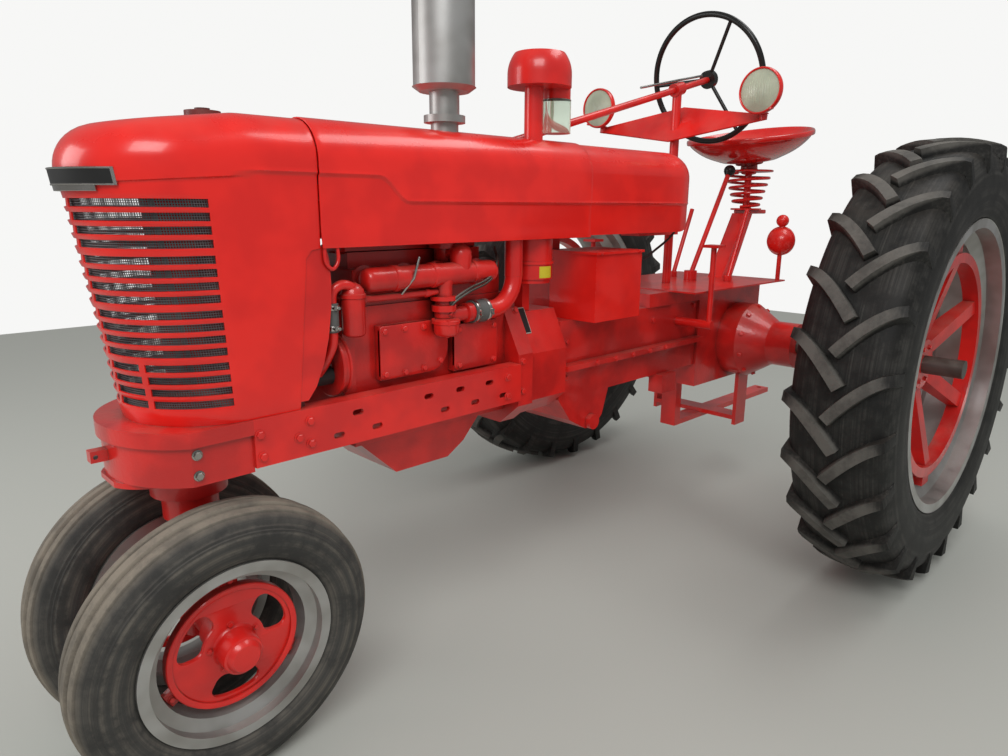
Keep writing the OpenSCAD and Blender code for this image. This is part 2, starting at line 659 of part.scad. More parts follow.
module lamp_lenses() color("#e8e8e0") at_axle() both_sides()
    translate([lamp_x + 62, lamp_y, lamp_z]) rotate([0, 90, 0]) cylinder(r = lamp_r - 4, h = 5);

// Seat: a pan on a coil spring and a leaning support
seat_x = -280;
seat_z = 1560;
module seat_pan() color(paint) at_axle()
    translate([seat_x, 0, seat_z]) rotate([0, 10, 0]) rotate_extrude($fn = 72)
    polygon([[0, -60], [90, -56], [180, -24], [245, 24], [262, 50], [268, 48], [252, 18], [186, -32],
        [100, -64], [0, -64]]);

module seat_frame() color(paint) at_axle() {
    translate([seat_x, 0, seat_z]) rotate([0, 10, 0]) translate([0, 0, -76]) cylinder(r = 58, h = 12);
    translate([seat_x - 14, 0, 1288]) cylinder(r = 34, h = seat_z - 70 - 1288);
    block([seat_x - 130, -40, 1272], [seat_x + 20, 40, 1290]);
    side_plate([[-300, 1272], [-240, 1272], [-60, deck_z], [-150, deck_z]], -34, 34);
}

module platform() color(paint) at_axle()
    block([-190, -260, deck_z - 6], [520, 260, deck_z]);

// Pedals, gear lever and brake levers
module controls() color(paint) at_axle() {
    both_sides() {
        bar([440, 276, 880], [440, 276, 1160], 10);
        block([412, 246, 1160], [468, 306, 1170]);
        cross_cyl(440, 880, 16, 140, 290);
        translate([60, 130, deck_z]) cylinder(r = 16, h = 24);
        bar([60, 130, deck_z + 12], [-60, 130, 1290], 9);
    }
    translate([134, 0, deck_z]) cylinder(r = 26, h = 40);
    bar([134, 0, deck_z + 20], [-122, 0, 1446], 10);
    translate([-125, 0, 1452]) sphere(r = 22);
}

module rear_lamp() color(paint) at_axle() {
    translate([-160, 240, 1165]) sphere(r = 56);
    translate([-160, 240, deck_z]) cylinder(r = 9, h = 130);
}

// Drawbar with hangers from the axle carriers and a hitch hole
module drawbar() color(paint) at_axle() difference() {
    union() {
        block([-610, -35, 395], [240, 35, 417]);
        block([200, -35, 395], [240, 35, 600]);
        both_sides() difference() {
            block([-40, 190, 395], [40, 206, 700]);
            cross_cyl(0, rear_z, 150.2, 180, 220);
        }
        block([-40, -206, 417], [40, 206, 435]);
    }
    translate([-580, 0, 390]) cylinder(r = hitch_r, h = 40);
}

// Rotors: power take-off shaft and belt pulley
module pto_shaft() color("#6a6a66") at_axle() {
    long_cyl(-310, -190 - end_gap, 0, pto_z, pto_r);
    long_cyl(-191, -190 + 58, 0, pto_z, pto_journal_r);
}

module belt_pulley() color(paint) at_axle() difference() {
    cross_cyl(pulley_x, pulley_z, pulley_r, -pulley_in_y - end_gap - pulley_w, -pulley_in_y - end_gap);
    cross_cyl(pulley_x, pulley_z, pulley_r - 12, -pulley_in_y - 1 - pulley_w, -pulley_in_y - 60);
    cross_cyl(pulley_x, pulley_z, pulley_shaft_r + run_fit, -pulley_in_y - 100, 0);
}

bolster();
frame_rails();
radiator();
radiator_shell();
hood();
fuel_tank();
engine_block();
oil_pan();
fan();
manifold();
carburettor();
air_cleaner();
precleaner_jar();
intake_pipe();
muffler();
governor();
water_hoses();
accessories();
clutch_housing();
transmission();
battery_box();
axle_carriers();
axle_bar_left();
axle_bar_right();
rear_tyre_left();
rear_tyre_right();
rear_rim_left();
rear_rim_right();
rear_centre_left();
rear_centre_right();
pedestal();
front_tyre_left();
front_tyre_right();
front_rim_left();
front_rim_right();
front_disc_left();
front_disc_right();
steering_post();
steering_shaft();
steering_wheel();
headlamps();
lamp_lenses();
seat_pan();
seat_frame();
platform();
controls();
rear_lamp();
drawbar();
pto_shaft();
belt_pulley();
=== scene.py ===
import bpy, bmesh
from math import pi, sin, cos, tan, asin, acos, radians, sqrt, atan2, degrees
from mathutils import Vector, Matrix
from mathutils.bvhtree import BVHTree


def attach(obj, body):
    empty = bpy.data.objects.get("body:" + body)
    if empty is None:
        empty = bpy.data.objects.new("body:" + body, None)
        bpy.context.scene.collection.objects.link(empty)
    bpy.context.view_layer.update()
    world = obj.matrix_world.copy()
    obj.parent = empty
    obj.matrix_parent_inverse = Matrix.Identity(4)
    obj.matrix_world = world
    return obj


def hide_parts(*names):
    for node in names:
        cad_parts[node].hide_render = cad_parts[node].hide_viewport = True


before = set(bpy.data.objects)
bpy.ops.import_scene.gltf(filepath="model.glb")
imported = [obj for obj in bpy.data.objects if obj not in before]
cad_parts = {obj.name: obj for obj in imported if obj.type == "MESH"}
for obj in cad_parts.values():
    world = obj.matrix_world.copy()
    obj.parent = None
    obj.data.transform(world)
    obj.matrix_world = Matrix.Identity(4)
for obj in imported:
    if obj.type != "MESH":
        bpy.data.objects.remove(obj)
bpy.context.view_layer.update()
print("frame loaded")

rearAxleX = -0.9075  # the frame's x of the rear axle
rearAxleZ = 0.765
frontAxleX = 1.3325


def at(x, y, z):  # millimetres measured from the rear axle, as in the part's own layout
    return Vector((x / 1000 + rearAxleX, y / 1000, z / 1000))


def newObject(name, data):
    obj = bpy.data.objects.new(name, data)
    bpy.context.collection.objects.link(obj)
    return obj


# node helpers
def feed(tree, sockets, ins):  # links or plain values for named sockets
    for label, v in ins.items():
        if isinstance(v, bpy.types.NodeSocket):
            tree.links.new(v, sockets[label])
        else:
            sockets[label].default_value = v


def addNode(tree, kind, ins=None, **settings):
    n = tree.nodes.new(kind)
    for k, v in settings.items():
        setattr(n, k, v)
    feed(tree, n.inputs, ins or {})
    return n


def mathNode(tree, op, *values, clamp=False):
    return addNode(tree, "ShaderNodeMath", dict(enumerate(values)), operation=op, use_clamp=clamp).outputs[0]


def noiseNode(tree, scale, detail, rough, vector):
    ins = {"Scale": scale, "Detail": detail, "Roughness": rough, "Vector": vector}
    return addNode(tree, "ShaderNodeTexNoise", ins).outputs["Fac"]


def rampNode(tree, value, low, high):
    ins = {"Value": value, "From Min": low, "From Max": high}
    return addNode(tree, "ShaderNodeMapRange", ins, interpolation_type="SMOOTHSTEP").outputs["Result"]


# camera and light
cameraView = {
    "place": (1.9151, 1.6348, 1.3097),
    "azimuth": 225.58,
    "pitch": 13.54,
    "roll": 0.387,
    "lens": 25.89,
    "sensor": 36,
    "reach": 60,
}


def makeCamera(v):
    azimuth, pitch, roll = radians(v["azimuth"]), radians(v["pitch"]), radians(v["roll"])
    look = Vector((cos(azimuth) * cos(pitch), sin(azimuth) * cos(pitch), -sin(pitch)))
    right = look.cross(Vector((0, 0, 1))).normalized()
    up = right.cross(look)
    data = bpy.data.cameras.new("photoCamera")
    data.lens, data.sensor_width, data.clip_end = v["lens"], v["sensor"], v["reach"]
    cam = newObject("photoCamera", data)
    m = Matrix((right * cos(roll) + up * sin(roll), up * cos(roll) - right * sin(roll), -look)).transposed().to_4x4()
    m.translation = Vector(v["place"])
    cam.matrix_world = m
    bpy.context.scene.camera = cam


makeCamera(cameraView)

studio = {
    "worldLevel": 0.62, "glossyLevel": 0.22, "backdrop": (0.93, 0.93, 0.92, 1),
    "floorColor": (0.46, 0.47, 0.43, 1), "floorRough": 0.85, "floorSize": 14.0,
    "lamps": {  # place, what it looks at, size, power
        "keyLamp": ((3.2, 2.6, 4.2), (0.2, 0, 0.8), (2.6, 1.8), 95.0),
        "fillLamp": ((4.2, -2.4, 2.4), (0.6, 0, 0.8), (2.2, 1.8), 40.0),
        "topLamp": ((-1.6, 1.2, 4.6), (-0.4, 0.2, 0.8), (3.0, 1.2), 45.0),
    },
}


def makeWorld(s):  # camera and glass see the backdrop, other rays a dimmer white, and shiny surfaces the dimmest
    world = bpy.data.worlds.new("studioWorld")
    bpy.context.scene.world = world
    world.use_nodes = True
    tree = world.node_tree
    tree.nodes.clear()
    path = addNode(tree, "ShaderNodeLightPath").outputs
    dim = mathNode(tree, "MULTIPLY_ADD", path["Is Glossy Ray"], s["glossyLevel"] - s["worldLevel"], s["worldLevel"])
    lit = addNode(tree, "ShaderNodeBackground", {"Color": (1, 1, 1, 1), "Strength": dim}).outputs[0]
    seen = addNode(tree, "ShaderNodeBackground", {"Color": s["backdrop"], "Strength": 1.0}).outputs[0]
    either = mathNode(tree, "MAXIMUM", path["Is Camera Ray"], path["Is Transmission Ray"])
    mix = addNode(tree, "ShaderNodeMixShader", {0: either, 1: lit, 2: seen}).outputs[0]
    addNode(tree, "ShaderNodeOutputWorld", {"Surface": mix})


def makeLamp(name, place, target, size, power):
    data = bpy.data.lights.new(name, "AREA")
    data.shape = "RECTANGLE"
    data.size, data.size_y = size
    data.energy = power
    lamp = newObject(name, data)
    lamp.location = place
    lamp.rotation_euler = (Vector(target) - Vector(place)).to_track_quat("-Z", "Y").to_euler()


def makeFloor(s):
    mesh = bpy.data.meshes.new("floor")
    h = s["floorSize"] / 2
    mesh.from_pydata([(-h, -h, 0), (h, -h, 0), (h, h, 0), (-h, h, 0)], [], [(0, 1, 2, 3)])
    tree, surface = newMaterial("floorPaint")
    feed(tree, surface, {"Base Color": s["floorColor"], "Roughness": s["floorRough"]})
    mesh.materials.append(bpy.data.materials["floorPaint"])
    newObject("floor", mesh)


def newMaterial(name):
    mat = bpy.data.materials.new(name)
    mat.use_nodes = True
    return mat.node_tree, mat.node_tree.nodes["Principled BSDF"].inputs


makeWorld(studio)
for lampName, values in studio["lamps"].items():
    makeLamp(lampName, *values)
makeFloor(studio)
bpy.context.scene.view_settings.view_transform = "Standard"
print("camera and studio ready")


# shared shader effects
def startGroup(name, ins, outs):
    tree = bpy.data.node_groups.new(name, "ShaderNodeTree")
    for label, value in ins.items():
        tree.interface.new_socket(label, in_out="INPUT", socket_type="NodeSocketFloat").default_value = value
    for label in outs:
        tree.interface.new_socket(label, in_out="OUTPUT", socket_type="NodeSocketFloat")
    return tree, addNode(tree, "NodeGroupInput").outputs, addNode(tree, "NodeGroupOutput").inputs


def objectCoords(tree):
    return addNode(tree, "ShaderNodeTexCoord").outputs["Object"]


def makeEdgeRub():  # where corners lose their paint
    tree, given, result = startGroup("edgeRub", {"Width": 0.004, "Amount": 0.5}, ["Mask"])
    bevel = addNode(tree, "ShaderNodeBevel", {"Radius": given["Width"]}, samples=4).outputs[0]
    normal = addNode(tree, "ShaderNodeNewGeometry").outputs["Normal"]
    dot = addNode(tree, "ShaderNodeVectorMath", {0: bevel, 1: normal}, operation="DOT_PRODUCT").outputs["Value"]
    edge = rampNode(tree, dot, 0.985, 0.86)
    patch = rampNode(tree, noiseNode(tree, 26.0, 4.0, 0.7, objectCoords(tree)), 0.52, 0.62)
    mask = mathNode(tree, "MULTIPLY", edge, patch)
    feed(tree, result, {"Mask": mathNode(tree, "MULTIPLY", mask, given["Amount"], clamp=True)})
    return tree


def makeSettledDust():  # dust lies on what faces up, in patches
    tree, given, result = startGroup("settledDust", {"Amount": 0.5, "Scale": 6.0, "Everywhere": 0.1}, ["Mask"])
    normal = addNode(tree, "ShaderNodeNewGeometry").outputs["Normal"]
    height = addNode(tree, "ShaderNodeSeparateXYZ", {0: normal}).outputs["Z"]
    up = mathNode(tree, "ADD", rampNode(tree, height, 0.25, 0.95), given["Everywhere"], clamp=True)
    patch = rampNode(tree, noiseNode(tree, given["Scale"], 6.0, 0.65, objectCoords(tree)), 0.35, 0.7)
    mask = mathNode(tree, "MULTIPLY", up, patch)
    feed(tree, result, {"Mask": mathNode(tree, "MULTIPLY", mask, given["Amount"], clamp=True)})
    return tree


def makeSurfaceGrain():  # orange peel on sheet metal, sand marks on castings
    tree, given, result = startGroup("surfaceGrain", {"Scale": 200.0, "Wave": 0.3}, ["Height", "Speckle"])
    coords = objectCoords(tree)
    fine = noiseNode(tree, given["Scale"], 2.0, 0.5, coords)
    wide = noiseNode(tree, 9.0, 2.0, 0.5, coords)
    wave = mathNode(tree, "MULTIPLY", wide, given["Wave"])
    feed(tree, result, {"Height": mathNode(tree, "ADD", fine, wave), "Speckle": wide})
    return tree


def makePaintedCornerShade():  # painted shade: paint darkened in corners and under ledges where the AO node finds them closed in, in patches
    tree, given, result = startGroup("cornerGrime", {"Distance": 0.05, "Amount": 0.5}, ["Mask"])
    near = addNode(tree, "ShaderNodeAmbientOcclusion", {"Distance": given["Distance"]}, samples=6).outputs["AO"]
    patch = noiseNode(tree, 22.0, 5.0, 0.65, objectCoords(tree))
    closed = mathNode(tree, "SUBTRACT", mathNode(tree, "SUBTRACT", 1.0, near), 0.35)
    mask = rampNode(tree, mathNode(tree, "MULTIPLY_ADD", patch, 0.5, closed), 0.1, 0.75)
    feed(tree, result, {"Mask": mathNode(tree, "MULTIPLY", mask, given["Amount"], clamp=True)})
    return tree


edgeRub = makeEdgeRub()
cornerGrime = makePaintedCornerShade()
settledDust = makeSettledDust()
surfaceGrain = makeSurfaceGrain()


def useGroup(tree, group, **values):
    n = tree.nodes.new("ShaderNodeGroup")
    n.node_tree = group
    feed(tree, n.inputs, values)
    return n.outputs


def mixColor(tree, amount, a, b):
    ins = {k: (*v, 1) if isinstance(v, tuple) else v for k, v in (("Factor", amount), ("A", a), ("B", b))}
    return addNode(tree, "ShaderNodeMix", ins, data_type="RGBA").outputs["Result"]


def bumpNode(tree, height, strength, distance):
    ins = {"Strength": strength, "Distance": distance, "Height": height}
    return addNode(tree, "ShaderNodeBump", ins).outputs["Normal"]


# finishes
# the last value of each finish sets how much painted shade darkens it in corners and under ledges
paintFinish = {
    "sheetRed": {"color": (0.84, 0.016, 0.010), "shade": (0.74, 0.013, 0.009), "rough": 0.27, "coat": 0.3,
        "grain": 240.0, "bump": 0.05, "depth": 0.0006, "dust": 0.1, "everywhere": 0.0, "rub": 0.3, "grime": 0.0},
    "castRed": {"color": (0.70, 0.014, 0.010), "shade": (0.50, 0.010, 0.008), "rough": 0.33, "coat": 0.4,
        "grain": 95.0, "bump": 0.34, "depth": 0.0018, "dust": 0.28, "everywhere": 0.0, "rub": 0.45, "grime": 0.85},
    "partRed": {"color": (0.78, 0.015, 0.010), "shade": (0.62, 0.011, 0.009), "rough": 0.3, "coat": 0.35,
        "grain": 150.0, "bump": 0.16, "depth": 0.001, "dust": 0.2, "everywhere": 0.0, "rub": 0.5, "grime": 0.6},
    "seatRed": {"color": (0.74, 0.014, 0.010), "shade": (0.64, 0.012, 0.009), "rough": 0.2, "coat": 1.0,
        "grain": 200.0, "bump": 0.06, "depth": 0.0006, "dust": 0.45, "everywhere": 0.0, "rub": 0.4, "grime": 0.3},
    "coreRed": {"color": (0.24, 0.012, 0.012), "shade": (0.12, 0.008, 0.008), "rough": 0.5, "coat": 0.1,
        "grain": 120.0, "bump": 0.2, "depth": 0.001, "dust": 0.6, "everywhere": 0.3, "rub": 0.3, "grime": 0.5},
    "blackPaint": {"color": (0.02, 0.02, 0.021), "shade": (0.012, 0.012, 0.012), "rough": 0.36, "coat": 0.2,
        "grain": 140.0, "bump": 0.16, "depth": 0.001, "dust": 0.5, "everywhere": 0.1, "rub": 0.4, "grime": 0.3},
}
dustColor = (0.30, 0.245, 0.19)
rubColor = (0.17, 0.075, 0.05)
# colour of the painted shade in corners and under ledges
cornerShadeColor = (0.075, 0.014, 0.010)
dustRough = 0.4  # how much rougher a surface gets under full dust


def paintMaterial(name, f):
    tree, surface = newMaterial(name)
    grain = useGroup(tree, surfaceGrain, Scale=f["grain"], Wave=0.6)
    dust = useGroup(tree, settledDust, Amount=f["dust"], Scale=7.0, Everywhere=f["everywhere"])["Mask"]
    rub = useGroup(tree, edgeRub, Width=0.003, Amount=f["rub"])["Mask"]
    color = mixColor(tree, rampNode(tree, grain["Speckle"], 0.35, 0.65), f["shade"], f["color"])
    # painted shade: the paint darkens towards a deep red in corners and under ledges
    if f["grime"]:
        grime = useGroup(tree, cornerGrime, Distance=0.045, Amount=f["grime"])["Mask"]
        color = mixColor(tree, grime, color, cornerShadeColor)
    color = mixColor(tree, rub, color, rubColor)
    rough = mathNode(tree, "MULTIPLY_ADD", dust, dustRough, f["rough"])
    feed(tree, surface, {
        "Base Color": mixColor(tree, dust, color, dustColor),
        "Roughness": mathNode(tree, "MULTIPLY_ADD", rub, 0.25, rough, clamp=True),
        "Coat Weight": mathNode(tree, "MULTIPLY", mathNode(tree, "SUBTRACT", 1.0, dust), f["coat"]),
        "Coat Roughness": 0.08,
        "Normal": bumpNode(tree, grain["Height"], f["bump"], f["depth"]),
    })


metalFinish = {
    "rimSilver": {"color": (0.50, 0.50, 0.49), "dark": (0.34, 0.33, 0.31), "rough": 0.34, "metal": 0.75, "bump": 0.06},
    "mufflerSilver": {"color": (0.56, 0.56, 0.55), "dark": (0.40, 0.39, 0.37), "rough": 0.42, "metal": 0.8,
        "bump": 0.1},
    "bareSteel": {"color": (0.17, 0.165, 0.155), "dark": (0.09, 0.07, 0.055), "rough": 0.45, "metal": 0.8, "bump": 0.2},
    "screenWire": {"color": (0.26, 0.25, 0.26), "dark": (0.15, 0.14, 0.15), "rough": 0.5, "metal": 0.5, "bump": 0.05},
    "brightSteel": {"color": (0.62, 0.61, 0.59), "dark": (0.42, 0.40, 0.37), "rough": 0.22, "metal": 1.0, "bump": 0.05},
}


def metalMaterial(name, f):
    tree, surface = newMaterial(name)
    grain = useGroup(tree, surfaceGrain, Scale=180.0, Wave=1.0)
    dust = useGroup(tree, settledDust, Amount=0.4, Scale=9.0, Everywhere=0.15)["Mask"]
    color = mixColor(tree, rampNode(tree, grain["Speckle"], 0.3, 0.7), f["dark"], f["color"])
    feed(tree, surface, {
        "Base Color": mixColor(tree, dust, color, dustColor),
        "Roughness": mathNode(tree, "MULTIPLY_ADD", dust, dustRough, f["rough"], clamp=True),
        "Metallic": mathNode(tree, "MULTIPLY_ADD", dust, -0.6 * f["metal"], f["metal"], clamp=True),
        "Normal": bumpNode(tree, grain["Height"], f["bump"], 0.0008),
    })


ribRubber = {"color": (0.036, 0.035, 0.033), "grey": (0.062, 0.060, 0.055), "dirt": (0.25, 0.215, 0.17),
    "wearFrom": 0.318, "wearTo": 0.338, "rough": 0.75, "amount": 0.8, "streak": 0.35, "dust": 0.12, "shine": 0.4}
rubberFinish = {
    "lugRubber": {"color": (0.013, 0.013, 0.0125), "grey": (0.024, 0.0235, 0.022), "dirt": (0.135, 0.128, 0.115),
        "centre": (rearAxleX, 0, rearAxleZ), "lean": 0, "wearFrom": 0.740, "wearTo": 0.756, "rough": 0.55,
        "amount": 0.8, "streak": 0.25, "dust": 0.1, "shine": 0.25},
    "leftRibRubber": {**ribRubber, "centre": (frontAxleX, 0.157, 0.3389), "lean": 5},
    "rightRibRubber": {**ribRubber, "centre": (frontAxleX, -0.157, 0.3389), "lean": -5},
}


def rubberMaterial(name, f):
    tree, surface = newMaterial(name)
    coords = objectCoords(tree)
    ins = {"Location": f["centre"], "Rotation": (radians(-f["lean"]), 0, 0), "Vector": coords}
    place = addNode(tree, "ShaderNodeMapping", ins, vector_type="TEXTURE").outputs[0]
    flat = addNode(tree, "ShaderNodeVectorMath", {0: place, 1: (1, 0, 1)}, operation="MULTIPLY").outputs[0]
    radius = addNode(tree, "ShaderNodeVectorMath", {0: flat}, operation="LENGTH").outputs["Value"]
    # streaks follow the tyre round: the noise depends on radius and side distance only
    across = addNode(tree, "ShaderNodeSeparateXYZ", {0: place}).outputs["Y"]
    ringwise = addNode(tree, "ShaderNodeCombineXYZ", {"X": radius, "Y": across}).outputs[0]
    streak = rampNode(tree, noiseNode(tree, 90.0, 3.0, 0.6, ringwise), 0.42, 0.66)
    cloud = noiseNode(tree, 11.0, 6.0, 0.7, coords)
    blotch = rampNode(tree, cloud, 0.36, 0.62)
    worn = rampNode(tree, radius, f["wearFrom"], f["wearTo"])
    color = mixColor(tree, mathNode(tree, "MULTIPLY", blotch, 0.6), f["color"], f["grey"])
    dirty = mathNode(tree, "MULTIPLY", streak, mathNode(tree, "MULTIPLY", blotch, f["streak"]))
    color = mixColor(tree, dirty, color, f["dirt"])
    tread = mathNode(tree, "MULTIPLY_ADD", blotch, 0.4, f["amount"] - 0.3)
    tread = mathNode(tree, "MULTIPLY", worn, tread, clamp=True)
    color = mixColor(tree, tread, color, f["dirt"])
    dust = useGroup(tree, settledDust, Amount=f["dust"], Scale=8.0, Everywhere=0.1)["Mask"]
    fine = noiseNode(tree, 260.0, 3.0, 0.6, coords)
    height = mathNode(tree, "ADD", fine, mathNode(tree, "MULTIPLY", cloud, 2.0))
    feed(tree, surface, {
        "Base Color": mixColor(tree, dust, color, dustColor),
        "Roughness": mathNode(tree, "MULTIPLY_ADD", tread, 0.25, f["rough"], clamp=True),
        "Specular IOR Level": f["shine"],
        "Normal": bumpNode(tree, height, 0.35, 0.0012),
    })


plainFinish = {
    "hoseRubber": {"color": (0.035, 0.034, 0.033), "rough": 0.6},
    "greyRubber": {"color": (0.12, 0.12, 0.115), "rough": 0.6},
    "wheelPlastic": {"color": (0.016, 0.017, 0.016), "rough": 0.25, "grain": 0.05},
    "jarGlass": {"color": (0.80, 0.92, 0.78), "rough": 0.08, "clear": 0.85, "grain": 0.03},
    "lensGlass": {"color": (0.66, 0.72, 0.55), "rough": 0.14, "clear": 0.3, "grain": 0.02},
    "badgeDark": {"color": (0.018, 0.018, 0.018), "rough": 0.4},
    "plateBare": {"color": (0.58, 0.56, 0.50), "rough": 0.4, "metal": 0.5},
    "labelYellow": {"color": (0.72, 0.58, 0.03), "rough": 0.45},
}


def plainMaterial(name, f):
    tree, surface = newMaterial(name)
    grain = useGroup(tree, surfaceGrain, Scale=150.0, Wave=0.8)
    shade = tuple(c * 0.72 for c in f["color"])
    feed(tree, surface, {
        "Base Color": mixColor(tree, rampNode(tree, grain["Speckle"], 0.3, 0.7), shade, f["color"]),
        "Roughness": f["rough"],
        "Metallic": f.get("metal", 0.0),
        "Transmission Weight": f.get("clear", 0.0),
        "IOR": 1.45,
        "Normal": bumpNode(tree, grain["Height"], f.get("grain", 0.1), 0.0006),
    })


for table, make in ((paintFinish, paintMaterial), (metalFinish, metalMaterial), (rubberFinish, rubberMaterial),
        (plainFinish, plainMaterial)):
    for finishName, values in table.items():
        make(finishName, values)
print("finishes ready")


# mesh helpers
def newMesh(name, verts, faces):
    mesh = bpy.data.meshes.new(name)
    mesh.from_pydata([tuple(v) for v in verts], [], faces)
    return mesh


def cleanMesh(mesh, weld=0.0, collapse=0.0):  # joins points that lie together and turns every face outward
    bm = bmesh.new()
    bm.from_mesh(mesh)
    if weld:
        bmesh.ops.remove_doubles(bm, verts=bm.verts, dist=weld)
    if collapse:
        bmesh.ops.dissolve_degenerate(bm, edges=bm.edges, dist=collapse)
    bmesh.ops.recalc_face_normals(bm, faces=bm.faces)
    bm.to_mesh(mesh)
    bm.free()


def finalMesh(obj):  # the plain mesh that an object's modifiers or curves come to; the object is removed
    graph = bpy.context.evaluated_depsgraph_get()
    mesh = bpy.data.meshes.new_from_object(obj.evaluated_get(graph))
    obj.modifiers.clear()
    bpy.data.objects.remove(obj)
    return mesh


def finishMesh(name, verts, faces, mat, smooth, replaces=(), body="chassis"):
    finishData(name, newMesh(name, verts, faces), mat, smooth, replaces, body)


def finishData(name, mesh, mat, smooth, replaces=(), body="chassis", weld=1e-6):
    cleanMesh(mesh, weld)
    mesh.materials.clear()
    mesh.materials.append(bpy.data.materials[mat])
    for p in mesh.polygons:
        p.use_smooth = True
    mesh.set_sharp_from_angle(angle=radians(smooth))
    obj = newObject(name, mesh)
    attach(obj, body)
    if replaces:
        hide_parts(*replaces)


clampBand = {"thick": 1.4, "half": 5.5, "ear": 7.0, "lift": 5, "barrel": 3.2, "screwAt": 4.5, "screw": 4.2}
upward, forward, outward = (0, 0, 1), (1, 0, 0), (0, 1, 0)


class Mesher:  # gathers several simple forms into one mesh
    def __init__(self):
        self.verts, self.faces = [], []

    def add(self, verts, faces):
        n = len(self.verts)
        self.verts += [Vector(v) for v in verts]
        self.faces += [tuple(i + n for i in f) for f in faces]

    def lathe(self, profile, place, axis, steps=48):  # a closed profile of (distance along axis, radius), in metres
        axis = Vector(axis).normalized()
        side = axis.orthogonal().normalized()
        up = axis.cross(side)
        place = Vector(place)
        verts, faces = [], []
        n = len(profile)
        for s in range(steps):
            a = 2 * pi * s / steps
            d = side * cos(a) + up * sin(a)
            for h, r in profile:
                verts.append(place + axis * h + d * r)
        for s in range(steps):
            t = (s + 1) % steps
            for i in range(n):
                j = (i + 1) % n
                faces.append((s * n + i, s * n + j, t * n + j, t * n + i))
        self.add(verts, faces)

    def tube(self, points, radius, sides=12):
        points = [Vector(p) for p in points]
        n = len(points)
        tangents = [(points[min(i + 1, n - 1)] - points[max(i - 1, 0)]).normalized() for i in range(n)]
        side = tangents[0].orthogonal().normalized()
        verts, faces = [], []
        for i, p in enumerate(points):
            side = (side - tangents[i] * side.dot(tangents[i])).normalized()
            up = tangents[i].cross(side)
            for s in range(sides):
                a = 2 * pi * s / sides
                verts.append(p + (side * cos(a) + up * sin(a)) * radius)
        for i in range(n - 1):
            for s in range(sides):
                t = (s + 1) % sides
                faces.append((i * sides + s, i * sides + t, (i + 1) * sides + t, (i + 1) * sides + s))
        faces.append(tuple(range(sides - 1, -1, -1)))
        faces.append(tuple((n - 1) * sides + s for s in range(sides)))
        self.add(verts, faces)

    def loft(self, loops):  # closed loops of as many points each, with both ends shut
        n = len(loops[0])
        faces = [(k * n + i, k * n + (i + 1) % n, (k + 1) * n + (i + 1) % n, (k + 1) * n + i)
            for k in range(len(loops) - 1) for i in range(n)]
        faces.append(tuple(range(n - 1, -1, -1)))
        faces.append(tuple((len(loops) - 1) * n + i for i in range(n)))
        self.add([p for loop in loops for p in loop], faces)

    def slab(self, low, high, cut):  # a block with its edges cut, in mm from the rear axle
        loops = []
        for z, inset in ((low[2], cut), (low[2] + cut, 0), (high[2] - cut, 0), (high[2], cut)):
            x0, x1, y0, y1 = low[0] + inset, high[0] - inset, low[1] + inset, high[1] - inset
            loops.append([at(x0 + cut, y0, z), at(x1 - cut, y0, z), at(x1, y0 + cut, z), at(x1, y1 - cut, z),
                at(x1 - cut, y1, z), at(x0 + cut, y1, z), at(x0, y1 - cut, z), at(x0, y0 + cut, z)])
        self.loft(loops)

    def turned(self, profile, place, axis, steps=48):  # the same in mm
        self.lathe([(h / 1000, r / 1000) for h, r in profile], place, axis, steps)

    def pipe(self, points, radius, sides, steps=0):  # in mm; curved through its points where steps are given
        line = [at(*p) for p in points]
        self.tube(smoothLine(line, steps) if steps else line, radius / 1000, sides)

    def clamp(self, place, axis, radius):  # a hose clamp: band, screw barrel and its two ears
        t = clampBand
        edge, crown = radius + t["thick"] * 0.6, radius + t["thick"]
        self.turned([(-t["half"], radius - 0.4), (-t["half"], edge), (-t["half"] + 1, crown), (t["half"] - 1, crown),
            (t["half"], edge), (t["half"], radius - 0.4)], place, axis, 48)
        axis = Vector(axis).normalized()
        out = Vector((0, 1, 0)) if abs(axis.y) < 0.5 else Vector((0, 0, 1))
        across = axis.cross(out)
        mid = place + out * (radius + t["lift"]) / 1000
        self.tube([mid - across * t["ear"] / 1000, mid + across * t["ear"] / 1000], t["barrel"] / 1000, 10)
        for side in (-1, 1):
            c = mid + across * (side * t["screwAt"]) / 1000
            self.tube([c - out * 0.006, c + out * 0.004], t["screw"] / 1000, 6)

    def piece(self, name, mat, smooth, replaces=(), slot="red_paint", body="chassis"):
        finishMesh(name, self.verts, self.faces, mat, smooth, replaces, body)


def makeForms(table):  # each piece: finish, smoothing, replaced nodes, slot, and calls to Mesher
    for name, (mat, smooth, replaced, slot, forms) in table.items():
        m = Mesher()
        for kind, *values in forms:
            getattr(m, kind)(*values)
        m.piece(name, mat, smooth, replaced, slot)


def smoothLine(points, steps):  # a smooth curve through the points
    pts = [Vector(p) for p in points]
    out = []
    for i in range(len(pts) - 1):
        p0, p1, p2, p3 = pts[max(i - 1, 0)], pts[i], pts[i + 1], pts[min(i + 2, len(pts) - 1)]
        for k in range(steps):
            t = k / steps
            out.append(0.5 * ((2 * p1) + (p2 - p0) * t + (2 * p0 - 5 * p1 + 4 * p2 - p3) * t * t
                + (3 * p1 - p0 - 3 * p2 + p3) * t ** 3))
    out.append(pts[-1])
    return out


def roundedOutline(corners, radii):  # corners in order round, each cut to an arc
    out = []
    n = len(corners)
    for i, (c, r) in enumerate(zip(corners, radii)):
        here = Vector(c)
        back = (Vector(corners[i - 1]) - here).normalized()
        on = (Vector(corners[(i + 1) % n]) - here).normalized()
        centre = here + (back + on) * r
        for k in range(9):
            a = radians(90 * k / 8)
            p = centre - on * r * cos(a) - back * r * sin(a)
            out.append((p.x, p.y))
    return out


def dressNode(name, mat):  # a CAD node keeps its mesh and gets a finish
    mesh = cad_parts[name].data
    mesh.materials.clear()
    mesh.materials.append(bpy.data.materials[mat])


